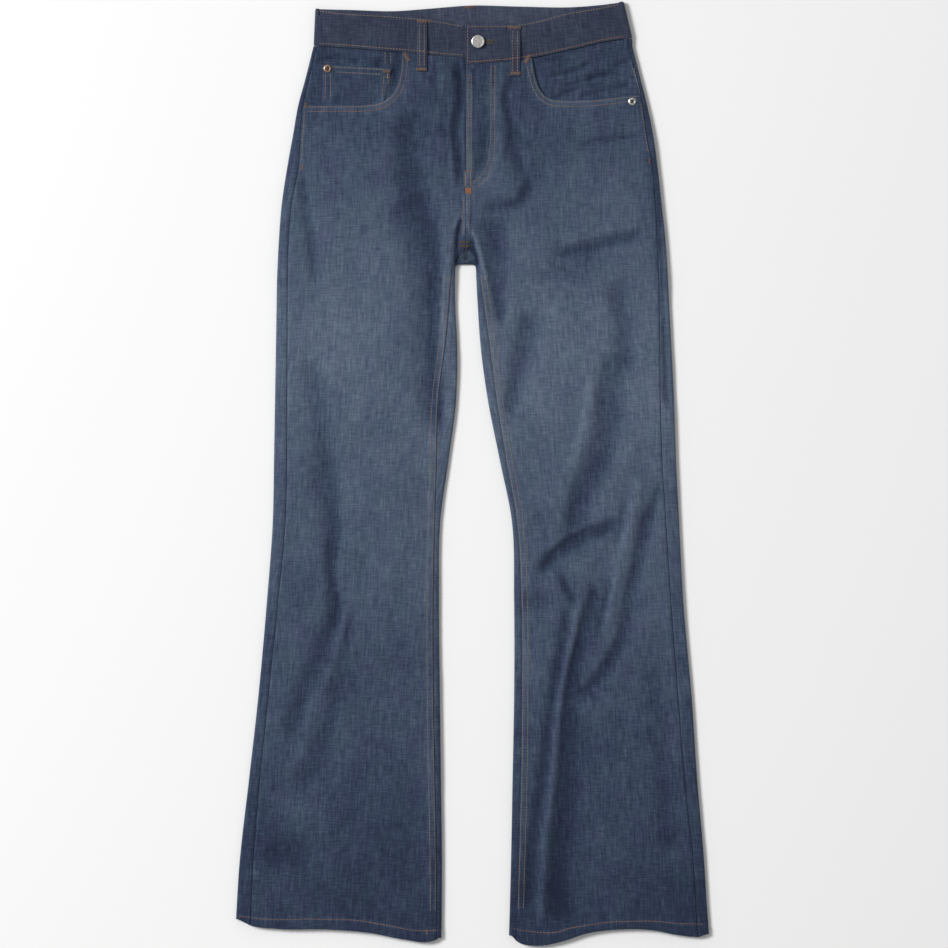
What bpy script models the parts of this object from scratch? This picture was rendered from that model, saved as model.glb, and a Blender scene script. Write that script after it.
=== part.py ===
"""Bootcut denim jeans laid flat, face up, on a level surface.

+Z is up, +Y runs from the hems to the waist and +X is to the right as seen from above, which is
the wearer's left. Every table is in millimetres; MM turns a length into metres when a mesh is made.
A panel is an open sheet, lofted through rows of points, that Solidify thickens inwards.
"""

import math

import bmesh
import bpy
import numpy as np

MM = 0.001

# Driving dimensions, in millimetres.
PANEL_WALL = 2.0
PATCH_WALL = 1.2
COIN_WALL = 1.4
LOOP_WALL = 1.6
BAND_WALL = 2.6
SEAM_GAP = 0.3
EDGE_HEIGHT = 6.0
BAND_HEIGHT = 7.4
CROWN = 1.1
CROWN_REACH = 24.0
SEAT_LIFT = PATCH_WALL + SEAM_GAP
LIFT_STARTS, LIFT_ENDS = 200.0, 236.0
LOWEST_TOP, HIGHEST_TOP = 4.5, 7.8
HEM_DEPTH, HEM_BULK, HEM_BEND = 12.0, 0.7, 110.0

CENTRE_X = -8.3
CROTCH_Y = 247.0
FORK_START_Y = 231.0
FORK_HALF_GAP = 12.2
FORK_Y = 270.0
SPLIT_Y = 300.0
POCKET_Y = 438.0
YOKE_SIDE_Y, YOKE_CENTRE_Y = 456.0, 425.0
WAIST_Y = 509.0
FLY_BASE_Y, FLY_LAP, FLY_DIP = 336.0, 0.8, 0.5
FLY_LAP_REACH, FLY_DIP_REACH = 22.0, 10.0
FLY_FADE = (-12.0, 6.0)
FACING_LIFT, FACING_DROP, FACING_RAMP = 0.4, 1.3, 15.0
LOOP_WIDTH, LOOP_RISE, LOOP_ROUNDING = 12.0, 1.5, 0.25
LOOP_MARGIN = 8.0
FRONT_LOOP_RIGHT = {"middle": -60.0, "foot": 478.0, "top": 540.0}
FRONT_LOOP_LEFT = {"middle": 50.8, "foot": 472.5, "top": 532.5}
BACK_LOOP_OUT, BACK_LOOP_CENTRE = 112.0, 4.0
BACK_LOOP_ROWS = (486.0, 518.0, 550.0)
BACK_POCKET_OUT, BACK_POCKET_HALF_TOP, BACK_POCKET_HALF_FOOT = 106.0, 74.0, 66.0
BACK_POCKET_TOP_Y, BACK_POCKET_TILT = 411.0, 5.0
BACK_POCKET_FOOT_Y, BACK_POCKET_DROP = 246.0, 22.0
COIN_SCOOP_MARGIN = 3.4
UNDERLAP = 34.0
OVER_RAMP, UNDER_RAMP = (-8.0, 10.0), (-36.0, -6.0)
BUTTON_PLACE, BUTTON_RADIUS, BUTTON_HEIGHT = (6.5, 513.8), 8.0, 4.0
COIN_RIVET_PLACE, POCKET_RIVET_PLACE = (-172.0, 481.5), (189.8, 442.0)
RIVET_RADIUS, RIVET_HEIGHT = 4.7, 1.6
ROLL_STEPS = 5
UNDERSIDE_STEPS = 4

# One row for each section across a leg, from the waist to the hem: where the outer fold of the
# cloth, the outseam, the inseam and the inner fold cross it.
SECTION_COLUMNS = ("y", "outer", "outseam", "inseam", "inner")
RIGHT_LEG = (
    (WAIST_Y, -189.0, -184.9, CENTRE_X, CENTRE_X),
    (468, -199.3, -194.8, CENTRE_X, CENTRE_X),
    (POCKET_Y, -207.4, -201.5, CENTRE_X, CENTRE_X),
    (406, -213.0, -204.3, CENTRE_X, CENTRE_X),
    (367, -220.0, -206.5, CENTRE_X, CENTRE_X),
    (321, -226.9, -215.0, CENTRE_X, CENTRE_X),
    (FORK_Y, -230.8, -219.0, CENTRE_X, CENTRE_X),
    (250, -231.8, -219.6, -22.2, -21.0),
    (231, -232.6, -220.0, -25.5, -21.0),
    (195, -233.2, -220.2, -28.0, -20.4),
    (159, -233.8, -220.3, -31.5, -18.4),
    (88, -235.0, -220.6, -40.5, -19.5),
    (16, -236.2, -220.9, -42.5, -28.5),
    (-55, -237.6, -222.5, -44.6, -38.2),
    (-150, -244.5, -231.0, -46.4, -39.9),
    (-269, -255.3, -243.2, -46.0, -38.7),
    (-364, -266.0, -252.9, -44.4, -37.5),
    (-459, -276.7, -260.6, -42.8, -36.3),
    (-543, -281.4, -264.0, -42.4, -36.9),
)
LEFT_LEG = (
    (WAIST_Y, 190.0, 185.8, CENTRE_X, CENTRE_X),
    (468, 200.3, 195.8, CENTRE_X, CENTRE_X),
    (POCKET_Y, 207.8, 202.6, CENTRE_X, CENTRE_X),
    (406, 214.4, 206.8, CENTRE_X, CENTRE_X),
    (367, 220.0, 213.6, CENTRE_X, CENTRE_X),
    (321, 225.0, 217.6, CENTRE_X, CENTRE_X),
    (FORK_Y, 230.2, 220.0, CENTRE_X, CENTRE_X),
    (250, 231.5, 220.9, 5.8, 4.4),
    (231, 232.6, 221.7, 9.2, 4.6),
    (195, 234.4, 222.4, 14.6, 6.5),
    (159, 236.2, 222.8, 19.6, 8.9),
    (88, 239.8, 223.6, 28.8, 18.2),
    (16, 242.2, 225.5, 40.2, 32.5),
    (-55, 245.7, 230.0, 52.6, 46.6),
    (-150, 250.7, 236.0, 58.0, 49.4),
    (-269, 261.0, 245.0, 58.5, 49.4),
    (-364, 267.4, 252.6, 57.4, 47.6),
    (-459, 275.5, 262.5, 54.8, 45.8),
    (-543, 281.4, 268.0, 52.4, 43.4),
)

# Lines that cross the garment, as y at each x.
LINE_COLUMNS = ("x", "y")
HEM_RIGHT = ((-281, -530), (-265, -537), (-235, -541), (-170, -542), (-122, -546), (-83, -553.5),
             (-51, -556.5), (-37, -552))
HEM_LEFT = ((43, -549), (56, -558), (76, -561.4), (104, -557), (137, -546.5), (175, -542),
            (211, -542.5), (247, -549), (268, -551), (279, -551), (282, -547))
BAND_TOP_RIGHT = ((-187, 553), (-147, 548.3), (-110, 546.4), (-68, 543), (-41, 539.4), (CENTRE_X, 534))
BAND_FOOT_RIGHT = ((-189, 509), (-147, 506.5), (-106, 503.2), (-74, 500.7), (-41, 497.2), (CENTRE_X, 494.6))
BAND_TOP_LEFT = ((CENTRE_X, 534), (29, 534), (51, 535.2), (72, 538.2), (91, 543), (114, 549), (145, 554.3),
                 (180, 561.4))
BAND_FOOT_LEFT = ((CENTRE_X, 486.4), (30, 489.4), (51, 491.2), (80, 496.5), (122, 505.5), (160, 514.4),
                  (190, 518.5))
BAND_TOP_BACK = ((-187, 553), (-146, 552), (-92, 550.6), (-50, 553.6), (-3, 557.2), (56, 556), (122, 555.4),
                 (152, 557.8), (180, 561.4))
BAND_FOOT_BACK = ((-189, 509), (190, 518.5))
SCOOP_RIGHT = ((-202, 438), (-157, 438), (-126, 438.6), (-112, 440.8), (-99.6, 447), (-91.5, 457),
               (-87, 469), (-85, 482), (-84, 501.2))
SCOOP_LEFT = ((202, 451), (185, 449.4), (152, 445.4), (108, 444.2), (94, 445.6), (84.6, 451.5),
              (78.4, 461.5), (74.6, 474.5), (70.8, 495))

# The folds that stand or sink in the top of the cloth: a name, the guide that each one follows, its
# half width, and how far it rises, or sinks where that is negative.
FOLDS = (
    ("right_front_drape", ((-77, 421), (-78, 367), (-60, 308), (-50, 207), (-57, 150)), 12, -2.3),
    ("right_inseam_crease", ((-57, 175), (-54, 114), (-52, 40)), 6, -1.3),
    ("right_thigh_ridge", ((-29, 404), (-24, 367), (-24, 308), (-29, 262)), 10, 0.8),
    ("right_fly_hollow", ((-17, 469), (-14, 420), (-15, 344)), 6, -1.0),
    ("right_hip_hollow", ((-200, 359), (-190, 302), (-187, 248)), 14, -0.8),
    ("right_knee_fold", ((-166, 9), (-162, -42), (-167, -100), (-165, -150)), 14, -1.9),
    ("right_calf_fold", ((-165, -150), (-190, -224), (-206, -270), (-228, -332)), 12, -1.7),
    ("right_calf_inner", ((-159, -243), (-181, -312), (-212, -379)), 13, -1.2),
    ("right_thigh_hollow", ((-155, 64), (-170, 4), (-176, -55)), 20, -0.8),
    ("left_fly_ridge", ((42, 430), (49, 395), (40, 363)), 7, 0.8),
    ("left_fly_hollow", ((48, 463), (48, 420), (55, 373), (60, 340), (36, 319), (15, 315)), 8, -1.5),
    ("left_thigh_fold", ((23, 309), (33, 245), (35, 198), (53, 165), (42, 101)), 10, -1.9),
    ("left_thigh_ridge", ((3, 300), (9, 268), (22, 222)), 8, 0.6),
    ("left_pocket_crease", ((131, 392), (155, 394), (179, 400), (199, 402)), 9, -1.1),
    ("left_hip_crease", ((121, 267), (143, 271), (167, 276), (199, 283)), 10, -1.6),
    ("left_outer_fold", ((170, 233), (185, 192), (176, 129), (159, 112), (143, 51), (123, -7)), 15, -1.9),
    ("left_outer_ridge", ((135, 104), (126, 51), (117, -7)), 11, 0.7),
    ("left_side_hollow", ((203, 89), (197, 66), (185, 7)), 13, -0.9),
    ("left_knee_rise", ((137, 2), (118, -43), (121, -84)), 11, -1.6),
    ("left_knee_crease", ((166, -55), (137, -69), (114, -86), (97, -93), (80, -119)), 9, -2.1),
    ("left_knee_hollow", ((107, -126), (116, -138), (124, -150)), 8, -1.2),
    ("left_shin_inner", ((111, -174), (102, -234), (90, -305), (79, -360), (67, -470)), 9, -1.7),
    ("left_shin_ridge", ((124, -150), (118, -186), (107, -269), (89, -393), (82, -504)), 8, 0.8),
    ("left_shin_outer", ((149, -129), (130, -186), (115, -257), (103, -393), (91, -513)), 10, -2.2),
    ("left_side_fold", ((209, -67), (192, -126), (176, -181), (156, -234), (128, -267)), 13, -2.1),
    ("left_side_ridge", ((194, -50), (174, -138), (146, -222)), 10, 0.8),
)
FOLD_TAPER = (-4.0, 30.0)
SEAM_TAPER = 11.0
WAIST_TAPER = (8.0, 38.0)

# Heights of the rows that the leg panels share, each stretch as where it starts, where it ends
# and how many steps it takes.
LEG_ROWS = ((-543, -531, 1), (-531, -290, 8), (-290, 16, 16), (16, FORK_START_Y, 8))
FORK_ROWS = (FORK_START_Y, 244.0, 257.0, FORK_Y)
HIP_STEPS = 7
YOKE_STEPS = 3
FRONT_COLUMNS = 17

# Where the columns of a front panel meet its pocket scoop, as shares of the scoop's length.
SCOOP_SHARES = (0.0, 0.1, 0.22, 0.36, 0.48, 0.57, 0.65, 0.72, 0.79, 0.86, 0.93, 1.0)

# Where the inner fold turns through the fork of the legs, as a share of the half width of the gap
# from the centre, the height, and the way out of the cloth in degrees from +Y's opposite.
FORK_TURNS = ((0.86, 242.0, 68.0), (0.52, 246.4, 28.0), (0.0, CROTCH_Y, 0.0))

DENIM = (0.052, 0.075, 0.135, 1.0)
DARK_DENIM = (0.036, 0.046, 0.082, 1.0)
NICKEL = (0.62, 0.61, 0.58, 1.0)
COPPER = (0.48, 0.24, 0.13, 1.0)


def column(table, names, name):
    place = names.index(name)
    return np.array([row[place] for row in table], dtype=float)


def smooth_through(xs, ys, at):
    """A smooth curve through the points, read at the given places; past its ends it stays level."""
    order = np.argsort(xs)
    xs, ys = xs[order], ys[order]
    steps = np.diff(xs)
    slopes = np.diff(ys) / steps
    middle = (slopes[:-1] * steps[1:] + slopes[1:] * steps[:-1]) / (steps[:-1] + steps[1:])
    tangents = np.concatenate([slopes[:1], middle, slopes[-1:]])
    at = np.clip(at, xs[0], xs[-1])
    left = np.clip(np.searchsorted(xs, at) - 1, 0, len(xs) - 2)
    width = steps[left]
    t = (at - xs[left]) / width
    rise = ys[left] * (2 * t**3 - 3 * t**2 + 1) + ys[left + 1] * (3 * t**2 - 2 * t**3)
    return rise + width * (tangents[left] * (t**3 - 2 * t**2 + t) + tangents[left + 1] * (t**3 - t**2))


def on_leg(leg, name, y):
    """The x at which a section line of a leg crosses height y."""
    return smooth_through(column(leg, SECTION_COLUMNS, "y"), column(leg, SECTION_COLUMNS, name), y)


def on_line(line, x):
    return smooth_through(column(line, LINE_COLUMNS, "x"), column(line, LINE_COLUMNS, "y"), x)


def ramp(value, start, end):
    t = np.clip((value - start) / (end - start), 0.0, 1.0)
    return t * t * (3 - 2 * t)


def hip_rows(scoop):
    """The heights of the rows at the hip, from above the fork up to the pocket scoop."""
    return np.linspace(SPLIT_Y, scoop[0][1], HIP_STEPS + 1)


def yoke_rows(leg, band_foot):
    """The heights at the outseam of the rows of a yoke."""
    top = float(on_line(band_foot, on_leg(leg, "outseam", WAIST_Y)))
    return np.linspace(YOKE_SIDE_Y + SEAM_GAP / 2, top - SEAM_GAP, YOKE_STEPS + 1)


def scoop_line(scoop, offset):
    """Points along a pocket scoop, moved off it towards the waist or, where negative, the hem."""
    points = np.array(scoop, dtype=float)
    lengths = np.concatenate([[0.0], np.cumsum(np.hypot(*np.diff(points, axis=0).T))])
    places = np.array(SCOOP_SHARES) * lengths[-1]
    line = np.stack([smooth_through(lengths, points[:, axis], places) for axis in (0, 1)], axis=1)
    runs = np.gradient(line, axis=0)
    outwards = np.stack([-runs[:, 1], runs[:, 0]], axis=1) * (1.0 if line[0, 0] < CENTRE_X else -1.0)
    return line + offset * outwards / np.hypot(*outwards.T)[:, None]


def guide_curve(guide, count=24):
    """A smooth curve through a fold's guide points."""
    points = np.array(guide, dtype=float)
    lengths = np.concatenate([[0.0], np.cumsum(np.hypot(*np.diff(points, axis=0).T))])
    places = np.linspace(0.0, lengths[-1], count)
    return np.stack([smooth_through(lengths, points[:, axis], places) for axis in (0, 1)], axis=1)


def fold_height(fold, x, y):
    """How far one fold lifts the cloth at each place: a bell across it that dies out at its ends."""
    _, guide, reach, rise = fold
    curve = guide_curve(guide)
    lengths = np.concatenate([[0.0], np.cumsum(np.hypot(*np.diff(curve, axis=0).T))])
    nearest = np.full(x.shape, np.inf)
    place = np.zeros(x.shape)
    for index, (start, end) in enumerate(zip(curve[:-1], curve[1:])):
        run = end - start
        t = np.clip(((x - start[0]) * run[0] + (y - start[1]) * run[1]) / (run @ run), 0.0, 1.0)
        away = np.hypot(x - start[0] - t * run[0], y - start[1] - t * run[1])
        closer = away < nearest
        nearest = np.where(closer, away, nearest)
        place = np.where(closer, lengths[index] + t * math.sqrt(run @ run), place)
    taper = ramp(place, *FOLD_TAPER) * ramp(lengths[-1] - place, *FOLD_TAPER)
    return rise * taper * np.exp(-((nearest / reach) ** 2))


def seat_lift(y):
    """The seat lies on its pockets and belt loops, so it is that much off the surface."""
    return SEAT_LIFT * ramp(y, LIFT_STARTS, LIFT_ENDS)


def inner_distance(leg, x, y):
    """How far a place is from the inner fold of its leg, or from the fork above it."""
    beside = np.abs(x - on_leg(leg, "inner", np.minimum(y, FORK_START_Y)))
    past_gap = np.abs(x - CENTRE_X) - FORK_HALF_GAP
    above = np.hypot(np.maximum(past_gap, 0.0), y - CROTCH_Y)
    return np.where(y < FORK_START_Y, beside, np.where(y < CROTCH_Y, np.abs(past_gap), above))


def top_height(x, y):
    """The height of the cloth's upper face: low at the edges, crowned between them, and folded."""
    x, y = np.broadcast_arrays(np.asarray(x, float), np.asarray(y, float))
    height = np.zeros(x.shape)
    for leg, side in ((RIGHT_LEG, x < CENTRE_X), (LEFT_LEG, x >= CENTRE_X)):
        outer = np.abs(on_leg(leg, "outer", y) - x)
        inner = inner_distance(leg, x, y)
        crown = CROWN * (1 - np.exp(-np.minimum(outer, inner) / CROWN_REACH))
        seams = np.minimum(np.abs(on_leg(leg, "outseam", y) - x), np.where(
            y < FORK_Y, np.abs(on_leg(leg, "inseam", y) - x), np.inf))
        folds = sum(fold_height(fold, x, y) for fold in FOLDS)
        folds = folds * ramp(seams, 0.0, SEAM_TAPER) * ramp(WAIST_Y - y, *WAIST_TAPER)
        folds = folds * np.where(y > CROTCH_Y, 1.0, ramp(inner, 0.0, SEAM_TAPER))
        height = np.where(side, np.clip(EDGE_HEIGHT + crown + folds, LOWEST_TOP, HIGHEST_TOP), height)
    from_centre = x - CENTRE_X
    lap = np.where(from_centre >= 0, FLY_LAP * np.exp(-from_centre / FLY_LAP_REACH),
                   -FLY_DIP * np.exp(from_centre / FLY_DIP_REACH))
    hem = np.where(x < CENTRE_X, on_line(HEM_RIGHT, x), on_line(HEM_LEFT, x))
    bulk = HEM_BULK * ramp(hem + HEM_DEPTH + 1.0 - y, 0.0, 1.5)
    return height + lap * ramp(y - FLY_BASE_Y, *FLY_FADE) + bulk + seat_lift(y)


def points_of(plan, heights):
    return np.concatenate([plan, np.asarray(heights)[..., None]], axis=-1)


def draped(plan, height=top_height):
    """Plan points laid on a surface."""
    plan = np.asarray(plan, dtype=float)
    return points_of(plan, height(plan[..., 0], plan[..., 1]))


def make_material(name, colour, roughness, metallic=0.0):
    material = bpy.data.materials.new(name)
    material.use_nodes = True
    shader = material.node_tree.nodes["Principled BSDF"]
    shader.inputs["Base Color"].default_value = colour
    shader.inputs["Roughness"].default_value = roughness
    shader.inputs["Metallic"].default_value = metallic
    return material


def add_object(name, mesh, material):
    mesh.materials.append(material)
    piece = bpy.data.objects.new(name, mesh)
    bpy.data.collections["jeans"].objects.link(piece)
    return piece


def make_sheet(name, rows, wall, material, face_up=True):
    """A sheet through rows of points, thickened inwards. A row may stop short of its neighbour."""
    shape = bmesh.new()
    grid = [[shape.verts.new(point * MM) for point in row] for row in rows]
    for low, high in zip(grid[:-1], grid[1:]):
        for place in range(min(len(low), len(high)) - 1):
            corners = [low[place], low[place + 1], high[place + 1], high[place]]
            shape.faces.new(corners if face_up else corners[::-1])
    loose = [vertex for vertex in shape.verts if not vertex.link_faces]
    bmesh.ops.delete(shape, geom=loose, context="VERTS")
    mesh = bpy.data.meshes.new(name)
    shape.to_mesh(mesh)
    shape.free()
    mesh.shade_smooth()
    piece = add_object(name, mesh, material)
    thickness = piece.modifiers.new("wall", "SOLIDIFY")
    thickness.thickness = wall * MM
    thickness.offset = -1.0
    thickness.use_even_offset = True
    return piece


def blend_patch(bottom, top, left, right):
    """Fills four boundary lines of matching counts with rows that blend from one to the next."""
    across = np.linspace(0.0, 1.0, len(bottom))[None, :, None]
    up = np.linspace(0.0, 1.0, len(left))[:, None, None]
    between_ends = (1 - up) * bottom[None] + up * top[None]
    between_sides = (1 - across) * left[:, None] + across * right[:, None]
    corners = ((1 - across) * ((1 - up) * bottom[0] + up * top[0])
               + across * ((1 - up) * bottom[-1] + up * top[-1]))
    return between_ends + between_sides - corners


def leg_heights():
    heights = []
    for low, high, steps in LEG_ROWS:
        heights += list(np.linspace(low, high, steps + 1)[:-1])
    return heights


def with_hem(leg, x, y):
    """Rows near the hem bend to its slant."""
    hem = HEM_RIGHT if leg is RIGHT_LEG else HEM_LEFT
    level = column(leg, SECTION_COLUMNS, "y")[-1]
    return y + (on_line(hem, x) - level) * (1 - ramp(y, level, level + HEM_BEND))


def make_front(name, leg, scoop, band_foot, material):
    """A front panel: rows from hem to hip, then a patch that ends at the pocket scoop and the band."""
    side = -1.0 if leg is RIGHT_LEG else 1.0
    rows = []
    for y in [*leg_heights(), *FORK_ROWS, SPLIT_Y]:
        ends = on_leg(leg, "outseam", y), on_leg(leg, "inseam", y) if y < FORK_Y else CENTRE_X
        x = np.linspace(ends[0] - side * SEAM_GAP / 2, ends[1] + side * SEAM_GAP / 2, FRONT_COLUMNS + 1)
        rows.append(np.stack([x, with_hem(leg, x, y)], axis=1))
    edge = scoop_line(scoop, -SEAM_GAP / 2)
    foot_xs = np.linspace(edge[-1, 0], CENTRE_X + side * SEAM_GAP / 2, FRONT_COLUMNS + 2 - len(SCOOP_SHARES))
    foot = np.stack([foot_xs, on_line(band_foot, foot_xs) - SEAM_GAP], axis=1)
    top = np.concatenate([edge[:-1], foot])
    side_ys = hip_rows(scoop)
    left = np.stack([on_leg(leg, "outseam", side_ys) - side * SEAM_GAP / 2, side_ys], axis=1)
    top[0] = left[-1]
    centre_ys = np.linspace(SPLIT_Y, foot[-1, 1], HIP_STEPS + 1)
    right = np.stack([np.full(HIP_STEPS + 1, foot[-1, 0]), centre_ys], axis=1)
    rows += list(blend_patch(rows[-1], top, left, right)[1:])
    return make_sheet(name, [draped(row) for row in rows], PANEL_WALL, material, face_up=side < 0)


def roll_points(edge, outward, height, lift, steps=ROLL_STEPS):
    """Half a turn of cloth round an edge, from its upper face down to its underside."""
    radius = height / 2
    turns = np.linspace(math.pi / 2, -math.pi / 2, steps + 1)
    outward = np.array(outward, dtype=float)
    plan = np.asarray(edge) + outward * (radius * (np.cos(turns) - 1))[:, None]
    return points_of(plan, lift + radius * (1 + np.sin(turns)))


def outer_wrap(leg, y):
    """From the outseam, across the strip that shows on top, and round the outer fold."""
    side = -1.0 if leg is RIGHT_LEG else 1.0
    edge = np.array([on_leg(leg, "outer", y), with_hem(leg, on_leg(leg, "outer", y), y)])
    seam_x = on_leg(leg, "outseam", y) + side * SEAM_GAP / 2
    seam = np.array([seam_x, with_hem(leg, seam_x, y)])
    lift = float(seat_lift(edge[1]))
    start = edge - [side * EDGE_HEIGHT / 2, 0.0]
    height = float(top_height(*start)) - lift
    roll = roll_points(edge, (side, 0.0), height, lift)
    strip = draped(np.linspace(seam, roll[0, :2], 3)[:2])
    return np.concatenate([strip, roll])


def inner_wrap(leg, edge, outward, seam):
    """Round the inner fold from below, and over the strip that shows on top to the inseam."""
    lift = float(seat_lift(edge[1]))
    start = np.array(edge) - np.array(outward) * EDGE_HEIGHT / 2
    height = float(top_height(*start)) - lift
    roll = roll_points(edge, outward, height, lift)[::-1]
    strip = draped(np.linspace(roll[-1, :2], seam, 3)[1:])
    return np.concatenate([roll, strip])


def underside(start, end, leg=None, row_y=None):
    """Points across the underside, between two points that are left out."""
    plan = np.linspace(start[:2], end[:2], UNDERSIDE_STEPS + 1)[1:-1]
    if row_y is not None:
        plan[:, 1] = with_hem(leg, plan[:, 0], row_y)
    return points_of(plan, seat_lift(plan[:, 1]))


def make_back(name, leg, scoop, material):
    """A back panel, wrapped round both sides of the leg on to its top, and up to the yoke."""
    side = -1.0 if leg is RIGHT_LEG else 1.0
    seam_side = CENTRE_X + side * SEAM_GAP / 2
    rows = []
    for y in [*leg_heights(), FORK_ROWS[0]]:
        outer = outer_wrap(leg, y)
        edge_x, seam_x = on_leg(leg, "inner", y), on_leg(leg, "inseam", y) - side * SEAM_GAP / 2
        edge, seam = [(x, with_hem(leg, x, y)) for x in (edge_x, seam_x)]
        inner = inner_wrap(leg, edge, (-side, 0.0), seam)
        rows.append(np.concatenate([outer, underside(outer[-1], inner[0], leg, y), inner]))
    for y, (share, edge_y, turn) in zip(FORK_ROWS[1:], FORK_TURNS):
        outer = outer_wrap(leg, y)
        half_gap = abs(on_leg(leg, "inner", FORK_START_Y) - CENTRE_X) - SEAM_GAP / 2
        edge = seam_side + side * share * half_gap, edge_y
        outward = -side * math.sin(math.radians(turn)), -math.cos(math.radians(turn))
        seam = max if side > 0 else min
        seam_x = seam(on_leg(leg, "inseam", y) - side * SEAM_GAP / 2, seam_side) if y < FORK_Y else seam_side
        inner = inner_wrap(leg, edge, outward, (seam_x, y))
        rows.append(np.concatenate([outer, underside(outer[-1], inner[0]), inner]))
    yoke_y = YOKE_SIDE_Y - SEAM_GAP / 2
    for y in [*hip_rows(scoop), (scoop[0][1] + yoke_y) / 2, yoke_y]:
        slant = (YOKE_CENTRE_Y - YOKE_SIDE_Y) * ramp(y, SPLIT_Y, YOKE_SIDE_Y)
        outer = outer_wrap(leg, y)
        end = np.array([seam_side, y + slant])
        corner = points_of(end[None], [seat_lift(end[1])])
        rows.append(np.concatenate([outer, underside(outer[-1], end), corner]))
    return make_sheet(name, rows, PANEL_WALL, material, face_up=side > 0)


def make_yoke(name, leg, band_foot, material):
    """A yoke, from the seam of the back panel up to the waistband."""
    side = -1.0 if leg is RIGHT_LEG else 1.0
    rows = []
    end_x = CENTRE_X + side * SEAM_GAP / 2
    centre_top = float(on_line(BAND_FOOT_BACK, end_x)) - SEAM_GAP
    centre_ys = np.linspace(YOKE_CENTRE_Y + SEAM_GAP / 2, centre_top, YOKE_STEPS + 1)
    for side_y, centre_y in zip(yoke_rows(leg, band_foot), centre_ys):
        outer = outer_wrap(leg, side_y)
        end = np.array([end_x, centre_y])
        corner = points_of(end[None], [seat_lift(end[1])])
        rows.append(np.concatenate([outer, underside(outer[-1], end), corner]))
    return make_sheet(name, rows, PANEL_WALL, material, face_up=side > 0)


def facing_height(leg):
    def height(x, y):
        from_seam = np.abs(np.asarray(x) - on_leg(leg, "outseam", np.asarray(y)))
        return EDGE_HEIGHT + seat_lift(y) + FACING_LIFT - FACING_DROP * ramp(from_seam, 0.0, FACING_RAMP)
    return height


def make_facing(name, leg, scoop, band_foot, material):
    """The denim inside a pocket opening, a little below the front panel's edge."""
    side = -1.0 if leg is RIGHT_LEG else 1.0
    edge = scoop_line(scoop, SEAM_GAP / 2)
    low = edge[:-1]
    upper_ys = yoke_rows(leg, band_foot)
    left_ys = np.array([low[0, 1], (low[0, 1] + upper_ys[0]) / 2, *upper_ys])
    left = np.stack([on_leg(leg, "outseam", left_ys) - side * SEAM_GAP / 2, left_ys], axis=1)
    low[0] = left[0]
    top_xs = np.linspace(left[-1, 0], edge[-1, 0], len(low))
    top = np.stack([top_xs, on_line(band_foot, top_xs) - SEAM_GAP], axis=1)
    right = np.linspace(low[-1], top[-1], len(left))
    rows = blend_patch(low, top, left, right)
    sheet = [draped(row, facing_height(leg)) for row in rows]
    return make_sheet(name, sheet, PANEL_WALL, material, face_up=side < 0)


def band_post(foot, top, height):
    """One upright line of the waistband, from its foot to its top edge."""
    shares = np.linspace(0.0, 1.0, 4)[:, None]
    plan = (1 - shares) * np.array(foot) + shares * np.array(top)
    return points_of(plan, np.full(len(plan), height))


def flat_posts(xs_foot, xs_top, foot, top, heights):
    return [band_post((a, float(on_line(foot, a))), (b, float(on_line(top, b))), height)
            for a, b, height in zip(xs_foot, xs_top, heights)]


def rolled_posts(foot_edge, top_edge, side, steps=6):
    """The waistband's turn round one side, from its upper layer down to its lower one."""
    radius = BAND_HEIGHT / 2
    posts = []
    for turn in np.linspace(math.pi / 2, -math.pi / 2, steps + 1):
        inset = side * radius * (math.cos(turn) - 1)
        foot, top = np.array(foot_edge) + [inset, 0], np.array(top_edge) + [inset, 0]
        posts.append(band_post(foot, top, SEAT_LIFT + radius * (1 + math.sin(turn))))
    return posts


def band_heights(x, lapped):
    """The height of the band's upper face: level, but for the lap, where one end lies on the other."""
    level = SEAT_LIFT + BAND_HEIGHT
    under = SEAT_LIFT + 2 * BAND_WALL + SEAM_GAP
    over = under + SEAM_GAP + BAND_WALL
    if lapped:
        return level + (over - level) * (1 - ramp(x - UNDERLAP, *OVER_RAMP))
    return level + (under - level) * ramp(x - CENTRE_X, *UNDER_RAMP)


def make_waistband(material):
    """One strip: from the lapped left end round the back to the right end that lies under it."""
    radius = BAND_HEIGHT / 2
    left_foot, left_top = BAND_FOOT_LEFT[-1], BAND_TOP_LEFT[-1]
    right_foot, right_top = BAND_FOOT_RIGHT[0], BAND_TOP_RIGHT[0]
    xs = np.array([CENTRE_X, 4, 16, 25, 31, 37, 44, 57, 74, 92, 112, 130, 148, 166])
    heights = band_heights(xs, lapped=True)
    stretch = (left_top[0] - radius - CENTRE_X) / (left_foot[0] - radius - CENTRE_X)
    posts = flat_posts(xs, CENTRE_X + (xs - CENTRE_X) * stretch, BAND_FOOT_LEFT, BAND_TOP_LEFT, heights)
    posts += rolled_posts(left_foot, left_top, 1.0)
    feet = np.linspace(left_foot[0] - radius, right_foot[0] + radius, 15)[1:-1]
    tops = np.linspace(left_top[0] - radius, right_top[0] + radius, 15)[1:-1]
    posts += flat_posts(feet, tops, BAND_FOOT_BACK, BAND_TOP_BACK, np.full(len(feet), SEAT_LIFT))
    posts += rolled_posts(right_foot, right_top, -1.0)[::-1]
    xs = np.array([-168, -148, -128, -106, -88, -70, -54, -44, -35, -26, -15, CENTRE_X, 6, UNDERLAP - 10])
    heights = band_heights(xs, lapped=False)
    foot = (*BAND_FOOT_RIGHT, (UNDERLAP, 494))
    top = (*BAND_TOP_RIGHT, (UNDERLAP, 533))
    posts += flat_posts(xs, xs, foot, top, heights)
    rows = [[post[row] for post in posts] for row in range(4)]
    return make_sheet("waistband", rows, BAND_WALL, material)


def make_patch(name, outline_rows, height, wall, material, face_up=True):
    """A flat piece through rows of plan points at one height above its place."""
    rows = [draped(row, height) for row in outline_rows]
    return make_sheet(name, rows, wall, material, face_up)


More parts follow.
